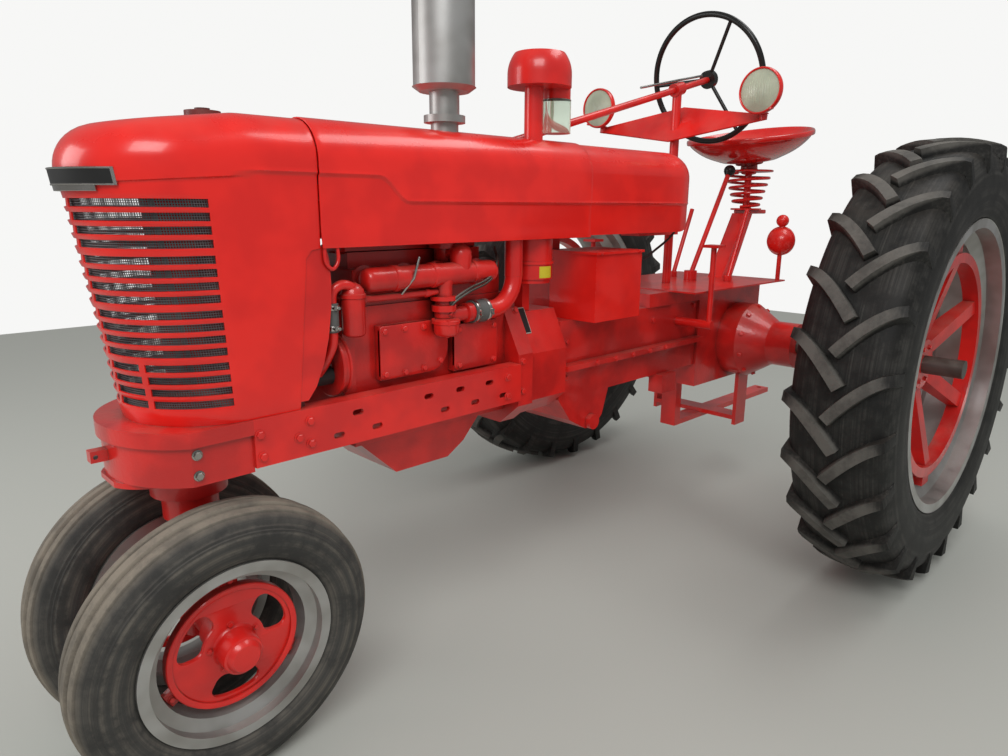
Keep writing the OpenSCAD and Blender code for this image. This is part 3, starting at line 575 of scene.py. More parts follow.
def addModifier(obj, kind, **values):
    m = obj.modifiers.new(kind.lower(), kind)
    for k, v in values.items():
        setattr(m, k, v)


nodeFinish = {
    "castRed": ["bolster", "engine_block", "oil_pan", "manifold", "governor", "clutch_housing", "transmission",
        "axle_carriers", "rear_centre_left", "rear_centre_right", "pedestal", "carburettor", "belt_pulley"],
    "partRed": ["frame_rails", "air_cleaner", "intake_pipe", "steering_post", "steering_shaft", "headlamps",
        "seat_frame", "platform", "controls", "rear_lamp", "drawbar", "front_disc_left", "front_disc_right"],
    "sheetRed": ["radiator_shell", "hood", "fuel_tank", "battery_box", "seat_pan"],
    "coreRed": ["radiator", "fan"],
    "rimSilver": ["rear_rim_left", "rear_rim_right", "front_rim_left", "front_rim_right"],
    "mufflerSilver": ["muffler"],
    "bareSteel": ["axle_bar_left", "axle_bar_right", "pto_shaft"],
    "blackPaint": ["accessories"],
    "hoseRubber": ["water_hoses"],
    "wheelPlastic": ["steering_wheel"],
    "jarGlass": ["precleaner_jar"],
    "lensGlass": ["lamp_lenses"],
    "lugRubber": ["rear_tyre_left", "rear_tyre_right"],
    "leftRibRubber": ["front_tyre_left"],
    "rightRibRubber": ["front_tyre_right"],
}
for finish, names in nodeFinish.items():
    for nodeName in names:
        dressNode(nodeName, finish)
print("CAD nodes dressed")


# hood, tank and nose
bodywork = {
    "halfWidth": 198.0, "lowZ": 1210.0, "tankLowZ": 1216.0, "topZ": 1488.0, "valley": 46.0, "crest": 90.0,
    "seamX": 1978.0, "tankFrontX": 1047.0, "tankRearX": 430.0, "tailLength": 110.0,
    "noseX": 2245.0, "noseTopZ": 1472.0, "noseLean": 7.6, "valleyRise": 6.0, "shellLowZ": 855.0,
    "press": 4.2, "bead": 1.6, "creaseZ": 1368, "creaseDrop": 58, "bendX": 1820, "bendLength": 84, "sheet": 0.004,
    "footX": 2050, "footZ": 1182, "straightZ": 1325, "springZ": 1398, "lineZ": 1361, "fadeX": 2175,
}


def crestSection(b, inset=0.0, steps=16):
    # half section from the spring line over the crest to the middle of the valley
    w, top, r, d = b["halfWidth"], b["topZ"], b["crest"], b["valley"]
    mid = w - r
    vr = (mid ** 2 + (r - d) ** 2 - r ** 2) / (2 * d)
    leanA = degrees(atan2(mid, r - d + vr))
    pts = []
    for i in range(steps + 1):
        a = radians(i * (90 + leanA) / steps)
        pts.append((mid + (r - inset) * cos(a), top - r + (r - inset) * sin(a)))
    for i in range(1, steps // 2 + 1):
        a = radians(270 + leanA * (1 - i / (steps // 2)))
        pts.append(((vr + inset) * cos(a), top - d + vr + (vr + inset) * sin(a)))
    pts[-1] = (0.0, pts[-1][1])
    return pts


def gridFaces(rows, columns, closed=False):
    wide = columns if closed else columns - 1
    return [(i * columns + j, i * columns + (j + 1) % columns, (i + 1) * columns + (j + 1) % columns,
        (i + 1) * columns + j) for i in range(rows - 1) for j in range(wide)]


def sheetOf(mesh, thickness, bevel, cutAngle):  # thickens a mesh inward and rounds its edges
    obj = newObject(mesh.name, mesh)
    addModifier(obj, "SOLIDIFY", thickness=thickness, offset=-1.0)
    addModifier(obj, "BEVEL", width=bevel, segments=2, limit_method="ANGLE", angle_limit=radians(cutAngle))
    return finalMesh(obj)


def creaseZ(x):  # the pressed line: high on the nose, then an S down to the hood's lower half
    b = bodywork
    t = min(max((b["bendX"] - x) / b["bendLength"], 0), 1)
    return b["creaseZ"] - b["creaseDrop"] * (3 * t * t - 2 * t ** 3)


def sideHeights(low, x):  # even below the pressed line and close together round it
    crease = creaseZ(x)
    return [low + (crease - 12 - low) * k / 4 for k in range(5)] + [crease + d for d in (-8, -5, -2, 1, 4, 7, 10)]


def bothSides(x, half):  # a half section and its mirror image in one row
    return [at(x, -y, z) for y, z in half] + [at(x, y, z) for y, z in reversed(half[:-1])]


def sideStep(z, x):  # how far the sheet stands out above the pressed line
    above = z - creaseZ(x)
    t = min(max((above / 4.5 + 1) / 2, 0), 1)
    bead = bodywork["bead"] * max(0.0, 1 - abs(above - 4) / 5)
    return 0.0 if z < bodywork["tankLowZ"] else -bodywork["press"] * (1 - (3 * t * t - 2 * t ** 3)) + bead


def makeHood(b):
    section = crestSection(b)
    rows = []
    for i in range(61):
        x = b["tankFrontX"] + 1 + (b["seamX"] - b["tankFrontX"] - 2) * i / 60
        rows.append(bothSides(x, [(b["halfWidth"] + sideStep(z, x), z) for z in sideHeights(b["lowZ"], x)] + section))
    mesh = newMesh("hoodSheet", [p for r in rows for p in r], gridFaces(len(rows), len(rows[0])))
    finishData("hoodSheet", sheetOf(mesh, b["sheet"], 0.0012, 55), "sheetRed", 40.0, ("hood",))


tankTail = [(110, 0), (84, 4), (60, 12), (40, 23), (24, 34), (9, 52), (0, 70)]  # distance from the rear, inset


def makeTank(b):
    front = b["tankFrontX"] - 1
    spots = [(front - (front - b["tankRearX"] - b["tailLength"]) * i / 24, 0.0) for i in range(25)]
    spots += [(b["tankRearX"] + p.x, p.y) for p in smoothLine([(d, inset, 0) for d, inset in tankTail], 3)[1:]]
    rows = []
    for x, inset in spots:
        low, w = b["tankLowZ"] + inset, b["halfWidth"] - inset
        side = [(w + sideStep(z, x) * (1 - inset / 72), z) for z in sideHeights(low, x)]
        rows.append(bothSides(x, [(w * k / 6 * 0.985, low) for k in range(6)] + side + crestSection(b, inset)))
    n = len(rows[0])
    faces = gridFaces(len(rows), n, closed=True)
    faces.append(tuple(range(n)))
    faces.append(tuple((len(rows) - 1) * n + j for j in range(n - 1, -1, -1)))
    finishMesh("tankShell", [p for r in rows for p in r], faces, "sheetRed", 40.0, ("fuel_tank",))


makeHood(bodywork)
makeTank(bodywork)
print("hood and tank made")

grille = {"topZ": 1306.0, "pitch": 26.0, "gap": 5.0, "rows": 16, "slotHeight": 16.5, "endX": 2219.0, "endStep": 1.2,
    "lip": 1.8, "barHalf": 7.0, "lowBarFrom": 96.0, "lowBarTo": 108.0, "barRows": 12, "columns": (16, 14, 1, 10, 1),
    "sideZ": (1325, 1340, 1352, 1360, 1363, 1366, 1369, 1372, 1375, 1382, 1390),
    "crownInsets": (1.4, 4, 8, 13, 20, 28, 38, 50, 64, 78, 90, 105, 122, 140, 158, 176, 190, 198)}


def noseCentre(z, b):
    return b["noseX"] + (min(z, b["noseTopZ"]) - b["noseTopZ"]) * tan(radians(b["noseLean"]))


def noseTop(x, b):  # the crown runs level and then slopes down to the front
    return min(b["topZ"], b["noseTopZ"] - (x - b["noseX"]) * tan(radians(b["noseLean"])))


def noseRearX(z, b):  # rear edge of the side: the seam above, the cut-away below
    if z >= b["lowZ"]:
        return b["seamX"] + 1
    if z > b["footZ"]:
        t = (b["lowZ"] - z) / (b["lowZ"] - b["footZ"])
        return b["seamX"] + 18 + 20 * sin(radians(90) * min(t * 1.2, 1))
    return b["seamX"] + 38 + (b["footZ"] - z) / (b["footZ"] - b["shellLowZ"]) * (b["footX"] - b["seamX"] - 38)


def outlinePoint(s, rear, centre, w):
    # arc length along the half outline from the rear edge round to the middle of the nose
    straight = centre - rear
    if s <= straight:
        return rear + s, w, (0.0, 1.0)
    a = (s - straight) / w
    return centre + w * sin(a), w * cos(a), (sin(a), cos(a))


def slotEnd(z, g):
    return g["endX"] - g["endStep"] * (g["topZ"] - z) / g["pitch"] * 0.96


def lengthAtX(x, rear, centre, w):
    if x <= centre:
        return x - rear
    return centre - rear + w * asin(min((x - centre) / w, 1))


def lengthAtY(y, rear, centre, w):
    return centre - rear + w * acos(min(y / w, 1))


def noseLengths(b, g, rear, centre, z):  # where the columns of a nose row lie, as arc lengths
    w = b["halfWidth"]
    marks = [0.0, lengthAtX(slotEnd(min(z, g["topZ"] + 10), g), rear, centre, w)]
    marks += [lengthAtY(g[k], rear, centre, w) for k in ("lowBarTo", "lowBarFrom", "barHalf")]
    marks.append(centre - rear + w * pi / 2)
    out = []
    for low, high, count in zip(marks, marks[1:], g["columns"]):
        out += [low + (high - low) * i / count for i in range(count)]
    return out + marks[-1:]


def makeNose(b, g):
    w, half = b["halfWidth"], g["slotHeight"] / 2
    slotRows = [g["topZ"] - n * g["pitch"] - (n // 4) * g["gap"] for n in range(g["rows"])]
    lowEdges, highEdges = {z - half for z in slotRows}, {z + half for z in slotRows}
    zs = sorted({b["shellLowZ"], b["lowZ"] - 3, b["lowZ"] + 1, *g["sideZ"], *lowEdges, *highEdges})
    slotOf = {i: n for n, z in enumerate(slotRows) for i in range(len(zs) - 1)
        if zs[i] >= z - half - 0.01 and zs[i + 1] <= z + half + 0.01}
    rows = []
    for z in zs:
        rear, centre = noseRearX(z, b), noseCentre(z, b)
        row = []
        for s in noseLengths(b, g, rear, centre, z):
            x, y, nrm = outlinePoint(s, rear, centre, w)
            if z <= b["tankLowZ"]:
                step = -b["press"]
            elif x < centre - 10:
                step = sideStep(z, x)
            else:
                step = -b["press"] * max(0, 1 - max(0, (z - b["lineZ"]) / 14))
            if z > b["lineZ"]:
                step *= min(max((b["fadeX"] - x) / 60, 0), 1)
            if x > slotEnd(z, g):
                step += g["lip"] if z in lowEdges else g["lip"] * -0.4 if z in highEdges else 0.0
            spring = noseTop(x, b) - b["crest"]
            rise = (spring - b["straightZ"]) / (b["springZ"] - b["straightZ"])
            zz = z if z <= b["straightZ"] else b["straightZ"] + (z - b["straightZ"]) * rise
            lean = (noseCentre(zz, b) - centre) * min(max((x - rear) / (centre - rear), 0), 1)
            row.append(at(x + nrm[0] * step + lean, y + nrm[1] * step, zz))
        rows.append(row)
    # over the crest and across the top, drawn in from the outline
    drop = tan(radians(b["valleyRise"]))
    for d in g["crownInsets"]:
        fall = b["crest"] - sqrt(max(0.0, b["crest"] ** 2 - max(0.0, b["crest"] - d) ** 2))
        rear, centre = noseRearX(b["topZ"], b), noseCentre(b["noseTopZ"] - fall, b)
        row = []
        for s in noseLengths(b, g, rear, centre, b["topZ"]):
            x, y, nrm = outlinePoint(s, rear, centre, w)
            px, py = x - nrm[0] * d, y - nrm[1] * d
            lean = noseCentre(noseTop(px, b) - fall, b) - centre
            px += lean * min(max((x - rear) / (centre - rear), 0), 1) * min(1.0, (w - d) / 60)
            row.append(at(px, py, min(noseTop(px, b) - fall, valleyHeight(py, px, b, drop))))
        rows.append(row)
    n = len(rows[0])
    slotFrom, lowBar = g["columns"][0], g["columns"][0] + g["columns"][1]
    slotTo = sum(g["columns"][:4])
    kept = []
    for k, face in enumerate(gridFaces(len(rows), n)):
        i, j = divmod(k, n - 1)
        cutOut = i in slotOf and slotFrom <= j < slotTo and not (slotOf[i] >= g["barRows"] and j == lowBar)
        if not cutOut:
            kept.append(face)
    left = [p for r in rows for p in r]
    faces = kept + [tuple(v + len(left) for v in f)[::-1] for f in kept]
    mesh = newMesh("noseShell", left + [Vector((p.x, -p.y, p.z)) for p in left], faces)
    cleanMesh(mesh, weld=2e-4, collapse=1e-5)
    finishData("noseShell", sheetOf(mesh, b["sheet"], 0.0014, 60), "sheetRed", 40.0, ("radiator_shell",))


def valleyHeight(y, x, b, drop):
    y = abs(y)
    mid = b["halfWidth"] - b["crest"]
    d, r, top = b["valley"], b["crest"], b["topZ"]
    vr = (mid ** 2 + (r - d) ** 2 - r ** 2) / (2 * d)
    k = mid * vr / (r + vr)
    rise = max(0.0, x - b["seamX"]) * drop
    if y >= mid:
        return 1e9
    if y >= k:
        return top - r + sqrt(r * r - (mid - y) ** 2) + rise
    return top - d + vr - sqrt(vr * vr - y * y) + rise


makeNose(bodywork, grille)
print("nose made")


# rear tyres
rearTyre = {
    "profile": [(130.7, 483.4), (130.7, 509), (138, 513), (147, 540), (153, 575), (155, 610), (153.5, 645), (147, 678),
        (139, 700), (122, 718), (92, 729), (48, 734), (0, 735.5)],
    "lugCount": 24, "lugSweep": 11.0, "lugStart": 10.4, "stagger": 7.6,
    "inner": -14.0, "outer": 150.0, "topWidth": 32.0, "baseWidth": 46.0, "halfTrack": 860.0,
    "lugSteps": 9, "lugBend": 1.45, "lugEnd": 738.0, "treadRadius": 750,
    "lugFoot": ((655.0, 20, 152.0), (668.0, 14, 154.8), (668.0, -14, 154.8), (655.0, -20, 152.0)),
}


def carcassRadius(y, t):
    pts = t["profile"][:5:-1]
    for (y0, r0), (y1, r1) in zip(pts, pts[1:]):
        if abs(y) <= y1:
            return r0 + (r1 - r0) * (abs(y) - y0) / (y1 - y0)
    return pts[-1][1]


def lugMesh(t, side):  # one bar of the tread about the wheel's own centre; side is +1 for the half on +Y
    verts = []
    last, reach, base, top = t["lugSteps"] - 1, t["outer"] - t["inner"], t["baseWidth"] / 2, t["topWidth"] / 2
    for i in range(t["lugSteps"]):
        k = i / last
        y = t["inner"] + reach * k
        phi = t["lugSweep"] * (1 - (1 - k) ** t["lugBend"])
        slope = max(0.15, t["lugBend"] * (1 - k) ** 0.45) * radians(t["lugSweep"]) * t["treadRadius"] / reach
        ln = sqrt(1 + slope * slope)
        ny, nphi = -slope / ln, 1 / ln  # across the bar, in the tread's surface
        high = min(765.0 - 0.0011 * max(0, y) ** 2, 764.6) if i else 764.0
        high = t["lugEnd"] if i == last else high
        low = carcassRadius(y, t) - 8
        for r, half in ((low, base), (high, top), (high, -top), (low, -base)):
            a = radians(phi) + nphi * half / t["treadRadius"]
            yy = max(-32.0, min(y + ny * half, 153.0))
            verts.append((r * cos(a) / 1000, side * yy / 1000, r * sin(a) / 1000))
    for r, half, y in t["lugFoot"]:  # the end drops down the shoulder
        a = radians(t["lugSweep"] + 0.4) + half / t["treadRadius"]
        verts.append((r * cos(a) / 1000, side * y / 1000, r * sin(a) / 1000))
    count = t["lugSteps"] + 1
    faces = gridFaces(count, 4, closed=True)
    faces += [(0, 1, 2, 3), tuple((count - 1) * 4 + j for j in (3, 2, 1, 0))]
    mesh = newMesh("lugBar", verts, faces)
    cleanMesh(mesh)
    obj = newObject("lugBar", mesh)
    addModifier(obj, "BEVEL", width=0.0028, segments=1, limit_method="ANGLE", angle_limit=radians(35))
    return newObject("lugShape", finalMesh(obj))


def startTree(name, ins):
    tree = bpy.data.node_groups.new(name, "GeometryNodeTree")
    for label, kind in [("Geometry", "Geometry")] + ins:
        tree.interface.new_socket(label, in_out="INPUT", socket_type="NodeSocket" + kind)
    tree.interface.new_socket("Geometry", in_out="OUTPUT", socket_type="NodeSocketGeometry")
    return tree, addNode(tree, "NodeGroupInput").outputs


def endTree(tree, given, ins):  # shapes on points, made into one plain mesh with its finish
    shape = addNode(tree, "GeometryNodeObjectInfo", {"Object": given["Shape"]}).outputs["Geometry"]
    placed = addNode(tree, "GeometryNodeInstanceOnPoints", {"Instance": shape, **ins}).outputs[0]
    plain = addNode(tree, "GeometryNodeRealizeInstances", {0: placed}).outputs[0]
    paint = addNode(tree, "GeometryNodeSetMaterial", {"Geometry": plain, "Material": given["Finish"]}).outputs[0]
    addNode(tree, "NodeGroupOutput", {0: paint})
    return tree


def treeMesh(host, tree, **values):  # what a tree makes of a host mesh
    obj = newObject("host", host)
    mod = obj.modifiers.new("tree", "NODES")
    mod.node_group = tree
    for s in tree.interface.items_tree:
        if s.in_out == "INPUT" and s.name in values:
            mod[s.identifier] = values[s.name]
    obj.update_tag()
    return finalMesh(obj)


def ringTree():  # copies a shape round the Y axis
    tree, given = startTree("ringOfBars",
        [("Shape", "Object"), ("Count", "Int"), ("Start", "Float"), ("Finish", "Material")])
    points = addNode(tree, "GeometryNodePoints", {"Count": given["Count"]}).outputs[0]
    part = mathNode(tree, "DIVIDE", addNode(tree, "GeometryNodeInputIndex").outputs[0], given["Count"])
    angle = mathNode(tree, "MULTIPLY_ADD", part, -2 * pi, given["Start"])
    turn = addNode(tree, "ShaderNodeCombineXYZ", {"Y": angle}).outputs[0]
    return endTree(tree, given, {"Points": points, "Rotation": turn})


barRing = ringTree()


def tyreProfile(profile, steps=4):
    pts = smoothLine([(a, b, 0) for a, b in profile], steps)
    right = [(p.x / 1000, p.y / 1000) for p in pts]
    return right + [(-h, r) for h, r in reversed(right[:-1])]


def makeRearTyre(sideName, side, t):
    m = Mesher()
    centre = Vector((rearAxleX, side * t["halfTrack"] / 1000, rearAxleZ))
    m.lathe(tyreProfile(t["profile"]), centre, (0, 1, 0), 120)
    for half in (1, -1):
        bar = lugMesh(t, half)
        start = t["lugStart"] if half * side > 0 else t["lugStart"] + t["stagger"]
        host = bpy.data.meshes.new("ringHost")
        mesh = treeMesh(host, barRing, Shape=bar, Count=t["lugCount"], Start=radians(-start),
            Finish=bpy.data.materials["lugRubber"])
        m.add([v.co + centre for v in mesh.vertices], [tuple(p.vertices) for p in mesh.polygons])
        bpy.data.objects.remove(bar)
    low = sideName.lower()
    m.piece("rearTyre" + sideName, "lugRubber", 32.0, ("rear_tyre_" + low,), "rear_rubber", "rear_wheel_" + low)


makeRearTyre("Left", 1, rearTyre)
makeRearTyre("Right", -1, rearTyre)
print("rear tyres made")

# front tyres
frontTyre = {
    "profile": [(55.4, 204.4), (55.4, 223), (58, 226), (64, 233), (70, 246), (73, 262), (74, 276), (73, 289), (71, 292),
        (70.5, 297), (67.5, 299), (66.5, 305), (63, 307), (60, 315), (56, 322), (50, 326.5), (45, 328), (43.5, 333),
        (41, 334.5), (27, 336.5), (24.5, 335), (23, 331.5), (14, 331.8), (12.2, 337), (10, 339.4), (0, 339.9)],
    "halfTrack": 157.0, "camber": 5.0, "axleZ": 338.887,
}


def frontWheel(side, t):  # a front wheel's centre, its axle's outward way and its own up
    lean = radians(t["camber"])
    hub = Vector((frontAxleX, side * t["halfTrack"] / 1000, t["axleZ"] / 1000))
    return hub, Vector((0, side * cos(lean), -sin(lean))), Vector((0, side * sin(lean), cos(lean)))


def makeFrontTyre(sideName, side, t):
    m = Mesher()
    hub, axis, _ = frontWheel(side, t)
    profile = t["profile"] + [(-h, r) for h, r in reversed(t["profile"][:-1])]
    m.turned(profile, hub, axis * side, 128)
    low = sideName.lower()
    m.piece("frontTyre" + sideName, low + "RibRubber", 24.0, ("front_tyre_" + low,), "front_rubber",
        "front_wheel_" + low)


makeFrontTyre("Left", 1, frontTyre)
makeFrontTyre("Right", -1, frontTyre)
print("front tyres made")

# front discs
frontDisc = {"radius": 149.0, "openFrom": 72.0, "openTo": 128.0, "openHalf": 30.0, "corner": 21.0, "low": 8.0,
    "high": 20.0, "edge": 1.6, "padHalf": 20.0, "padFrom": 140.0, "padTo": 171.6,
    "hub": [(-64, 20.1), (-64, 43), (-61, 46), (2, 46), (6, 50), (9, 52), (20, 52), (23, 48), (28, 46), (64, 46),
        (68, 45), (70, 42), (70.5, 39.5), (79, 34.5), (82, 31), (82, 0), (61, 0), (61, 20.1)],
    "ring": [(4, 138), (4, 150.5), (5.5, 152), (24, 152), (26, 150), (26, 141), (24, 138)]}


def discPlate(t):  # the flat disc with its three openings, lying about the origin
    curve = bpy.data.curves.new("discPlate", "CURVE")
    curve.dimensions = "2D"
    curve.fill_mode = "BOTH"
    curve.bevel_depth = t["edge"] / 1000
    curve.bevel_resolution = 1
    curve.offset = -t["edge"] / 1000
    curve.extrude = (t["high"] - t["low"]) / 2000 - t["edge"] / 1000
    outlines = [[(t["radius"] * cos(2 * pi * i / 96), t["radius"] * sin(2 * pi * i / 96)) for i in range(96)]]
    mid, half = (t["openFrom"] + t["openTo"]) / 2, (t["openTo"] - t["openFrom"]) / 2
    reach = radians(t["openHalf"]) * mid
    rect = roundedOutline([(-reach, -half), (reach, -half), (reach, half), (-reach, half)], (t["corner"],) * 4)
    fine = []
    for (u0, v0), (u1, v1) in zip(rect, rect[1:] + rect[:1]):
        steps = max(1, int(abs(u1 - u0) / 5))
        fine += [(u0 + (u1 - u0) * i / steps, v0 + (v1 - v0) * i / steps) for i in range(steps)]
    for turn in (30, 150, 270):
        spots = [(mid + v, radians(turn) + u / mid) for u, v in fine]
        outlines.append([(r * cos(a), r * sin(a)) for r, a in spots])
    for outline in outlines:
        spline = curve.splines.new("POLY")
        spline.points.add(len(outline) - 1)
        spline.use_cyclic_u = True
        for point, (x, y) in zip(spline.points, outline):
            point.co = (x / 1000, y / 1000, 0, 1)
    obj = newObject("discPlate", curve)
    mesh = finalMesh(obj)
    bm = bmesh.new()
    bm.from_mesh(mesh)
    bmesh.ops.remove_doubles(bm, verts=bm.verts, dist=2e-5)
    verts = [v.co.copy() for v in bm.verts]
    bm.verts.index_update()
    faces = [tuple(v.index for v in f.verts) for f in bm.faces]
    bm.free()
    return verts, faces


def makeFrontDisc(sideName, side, t, tyre):
    hub, axis, up = frontWheel(side, tyre)

    def on(x, y, h):  # millimetres in the wheel's own plane and along its axle
        return hub + (Vector((x, 0, 0)) + up * y + axis * h) / 1000

    m = Mesher()
    verts, faces = discPlate(t)
    m.add([on(v.x * 1000, v.y * 1000, (t["low"] + t["high"]) / 2 + v.z * 1000) for v in verts], faces)
    m.turned(t["hub"], hub, axis, 64)
    m.turned(t["ring"], hub, axis, 96)
    for turn in (90, 210, 330):
        a = radians(turn)
        loops = []
        for h, cut in ((-4, 0.0), (6, 0.0), (8, 2.0)):
            w, far = t["padHalf"] - cut, t["padTo"] - cut
            flat = [(t["padFrom"], -w), (far - 1.2, -w), (far, 0), (far - 1.2, w), (t["padFrom"], w)]
            loops.append([on(x * cos(a) - y * sin(a), x * sin(a) + y * cos(a), h) for x, y in flat])
        m.loft(loops)
    low = sideName.lower()
    m.piece("frontDisc" + sideName, "partRed", 35.0, ("front_disc_" + low,), body="front_wheel_" + low)


makeFrontDisc("Left", 1, frontDisc, frontTyre)
makeFrontDisc("Right", -1, frontDisc, frontTyre)
print("front discs made")


# wire screen behind the slots
screen = {"inset": 14.0, "lowZ": 862.0, "highZ": 1326.0, "pitch": 5.0, "wire": 0.95, "straight": 30.0,
    "frameWidth": 6.0, "seatInset": 6.0}


def nosePoint(b, s, z, inset):  # s in mm along one half of the inner outline; 0 is the middle of the nose
    w = b["halfWidth"] - inset
    centre = noseCentre(z, b)
    a = min(abs(s) / w, pi / 2)
    back = max(0.0, abs(s) - w * pi / 2)
    side = 1 if s >= 0 else -1
    return at(centre + w * cos(a) - back, side * w * sin(a), z)


def makeScreen(b, t):
    m = Mesher()
    w = b["halfWidth"] - t["inset"]
    half = w * pi / 2 + t["straight"]
    count = int(2 * half / t["pitch"])
    for i in range(count + 1):
        s = -half + 2 * half * i / count
        m.tube([nosePoint(b, s, t["lowZ"], t["inset"]), nosePoint(b, s, t["highZ"], t["inset"])], t["wire"] / 1000, 4)
    rows = int((t["highZ"] - t["lowZ"]) / t["pitch"])
    for k in range(rows + 1):
        z = t["lowZ"] + (t["highZ"] - t["lowZ"]) * k / rows
        m.tube([nosePoint(b, -half + 2 * half * i / 44, z, t["inset"] - 0.8) for i in range(45)], t["wire"] / 1000, 4)
    # the frame that seats the screen on the sheet
    outer = b["halfWidth"] - t["seatInset"]
    for low in (t["lowZ"] - t["frameWidth"], t["highZ"]):
        loops = []
        for i in range(45):
            k = -1 + 2 * i / 44
            loops.append([nosePoint(b, k * (outer * pi / 2 + t["straight"]), low, t["seatInset"]),
                nosePoint(b, k * (outer * pi / 2 + t["straight"]), low + t["frameWidth"], t["seatInset"]),
                nosePoint(b, k * half, low + t["frameWidth"], t["inset"] + 1.5),
                nosePoint(b, k * half, low, t["inset"] + 1.5)])
        m.loft(loops)
    for side in (-1, 1):
        loops = []
        for z in (t["lowZ"] - t["frameWidth"], t["highZ"] + t["frameWidth"]):
            loops.append([nosePoint(b, side * (outer * pi / 2 + t["straight"]), z, t["seatInset"]),
                nosePoint(b, side * (outer * pi / 2 + t["straight"] - 6), z, t["seatInset"]),
                nosePoint(b, side * (half - 6), z, t["inset"] + 1.5),
                nosePoint(b, side * half, z, t["inset"] + 1.5)])
        m.loft(loops)
    m.piece("noseScreen", "screenWire", 20.0, (), "dark_red_paint")


makeScreen(bodywork, screen)

# plate on the nose
badge = {"reach": 46.0, "lowZ": 1338.0, "highZ": 1371.0, "rim": 3.2, "stand": 5.0, "bow": 10.0, "seat": 191.0,
    "barReach": 33.0, "barLowZ": 1327.5, "steps": 36}


def badgePoint(b, t, degree, z, depth):
    stand = t["stand"] + t["bow"] * cos(radians(degree * 90 / t["reach"])) ** 2
    r = b["halfWidth"] - 3 + stand - depth if depth is not None else t["seat"]
    a = radians(degree)
    return at(noseCentre(z, b) + r * cos(a), r * sin(a), z)


def badgeStrip(m, b, t, reach, low, high, front):
    loops = []
    for i in range(t["steps"] + 1):
        d = -reach + 2 * reach * i / t["steps"]
        loops.append([badgePoint(b, t, d, low, None), badgePoint(b, t, d, low, front + 0.8),
            badgePoint(b, t, d, low + 0.8, front), badgePoint(b, t, d, high - 0.8, front),
            badgePoint(b, t, d, high, front + 0.8), badgePoint(b, t, d, high, None)])
    m.loft(loops)


def makeBadge(b, t):
    m = Mesher()
    badgeStrip(m, b, t, t["reach"], t["lowZ"], t["highZ"], 1.6)
    badgeStrip(m, b, t, t["reach"], t["lowZ"], t["lowZ"] + t["rim"], 0.0)
    badgeStrip(m, b, t, t["reach"], t["highZ"] - t["rim"], t["highZ"], 0.0)
    for side in (-1, 1):
        loops = []
        for d in (t["reach"], t["reach"] - 0.6, t["reach"] - 1.4, t["reach"] - 1.9):
            lift = 0.0 if d < t["reach"] - 0.3 and d > t["reach"] - 1.7 else 0.8
            loops.append([badgePoint(b, t, side * d, t["lowZ"], None), badgePoint(b, t, side * d, t["lowZ"], lift),
                badgePoint(b, t, side * d, t["highZ"], lift), badgePoint(b, t, side * d, t["highZ"], None)])
        m.loft(loops)
    badgeStrip(m, b, t, t["barReach"], t["barLowZ"], t["lowZ"] + 0.5, 3.0)
    m.piece("badgeFrame", "brightSteel", 30.0, (), "silver")
    field = Mesher()
    loops = []
    inner = t["reach"] - 1.8
    for i in range(t["steps"] + 1):
        d = -inner + 2 * inner * i / t["steps"]
        low, high = t["lowZ"] + t["rim"] - 0.2, t["highZ"] - t["rim"] + 0.2
        loops.append([badgePoint(b, t, d, low, 2.6), badgePoint(b, t, d, low, 1.1),
            badgePoint(b, t, d, high, 1.1), badgePoint(b, t, d, high, 2.6)])
    field.loft(loops)
    field.piece("badgeField", "badgeDark", 30.0, (), "black_paint")


makeBadge(bodywork, badge)
print("screen and badge made")

# seat pan
seat = {"place": (-280, 0, 1560), "turn": (0, 10, 0), "radius": 264.0, "squash": 0.97, "saddle": 6.0, "sides": 96,
    "section": [(0, -59), (0.34, -56), (0.52, -43), (0.68, -23), (0.82, 2), (0.92, 26), (0.965, 42), (0.985, 48),
        (1.003, 48), (1.015, 42), (1.013, 31), (1.005, 28), (0.997, 32), (0.985, 40), (0.95, 19), (0.83, -10),
        (0.69, -33), (0.52, -52), (0.37, -63), (0, -64)]}


def makeSeat(t):
    turn = Matrix.Rotation(radians(t["turn"][2]), 3, "Z") @ Matrix.Rotation(radians(t["turn"][1]), 3, "Y")
    path = smoothLine([(p, h, 0) for p, h in t["section"]], 3)
    verts, faces = [], []
    for p in path:
        for i in range(t["sides"]):
            a = 2 * pi * i / t["sides"]
            k = max(p.x, 0.0)
            x = t["squash"] * t["radius"] * k * cos(a)
            v = turn @ Vector((x, t["radius"] * k * sin(a), p.y + t["saddle"] * (k * cos(a)) ** 2))
            verts.append(at(*(v + Vector(t["place"]))))
    n = t["sides"]
    for k in range(len(path) - 1):
        for i in range(n):
            j = (i + 1) % n
            faces.append((k * n + i, k * n + j, (k + 1) * n + j, (k + 1) * n + i))
    finishMesh("seatShell", verts, faces, "seatRed", 50.0, ("seat_pan",))


makeSeat(seat)

# headlamps
lamp = {"x": 279.0, "y": 352.0, "z": 1692.0, "radius": 70.0, "bulge": 13.0, "fluteDepth": 0.7, "flutePitch": 9.0,
    "rim": [(58, 69.5), (68.5, 69.5), (71.5, 71), (72.5, 73), (72, 75), (69, 76.8), (62, 77.6), (58, 77.2)],
    "bowl": [(0, 0), (0.6, 16), (4, 31), (12, 44), (24, 56), (38, 65), (50, 72), (53, 76.8), (61, 76.8), (61, 60),
        (61, 0)],
    "stemX": 26, "stemFoot": 1619.0, "stemTop": 1646.0, "stem": 9.0, "screwTurn": 52.0, "screwRadius": 77, "screwX": 66,
    "lensX": 67, "lensBackX": 62}


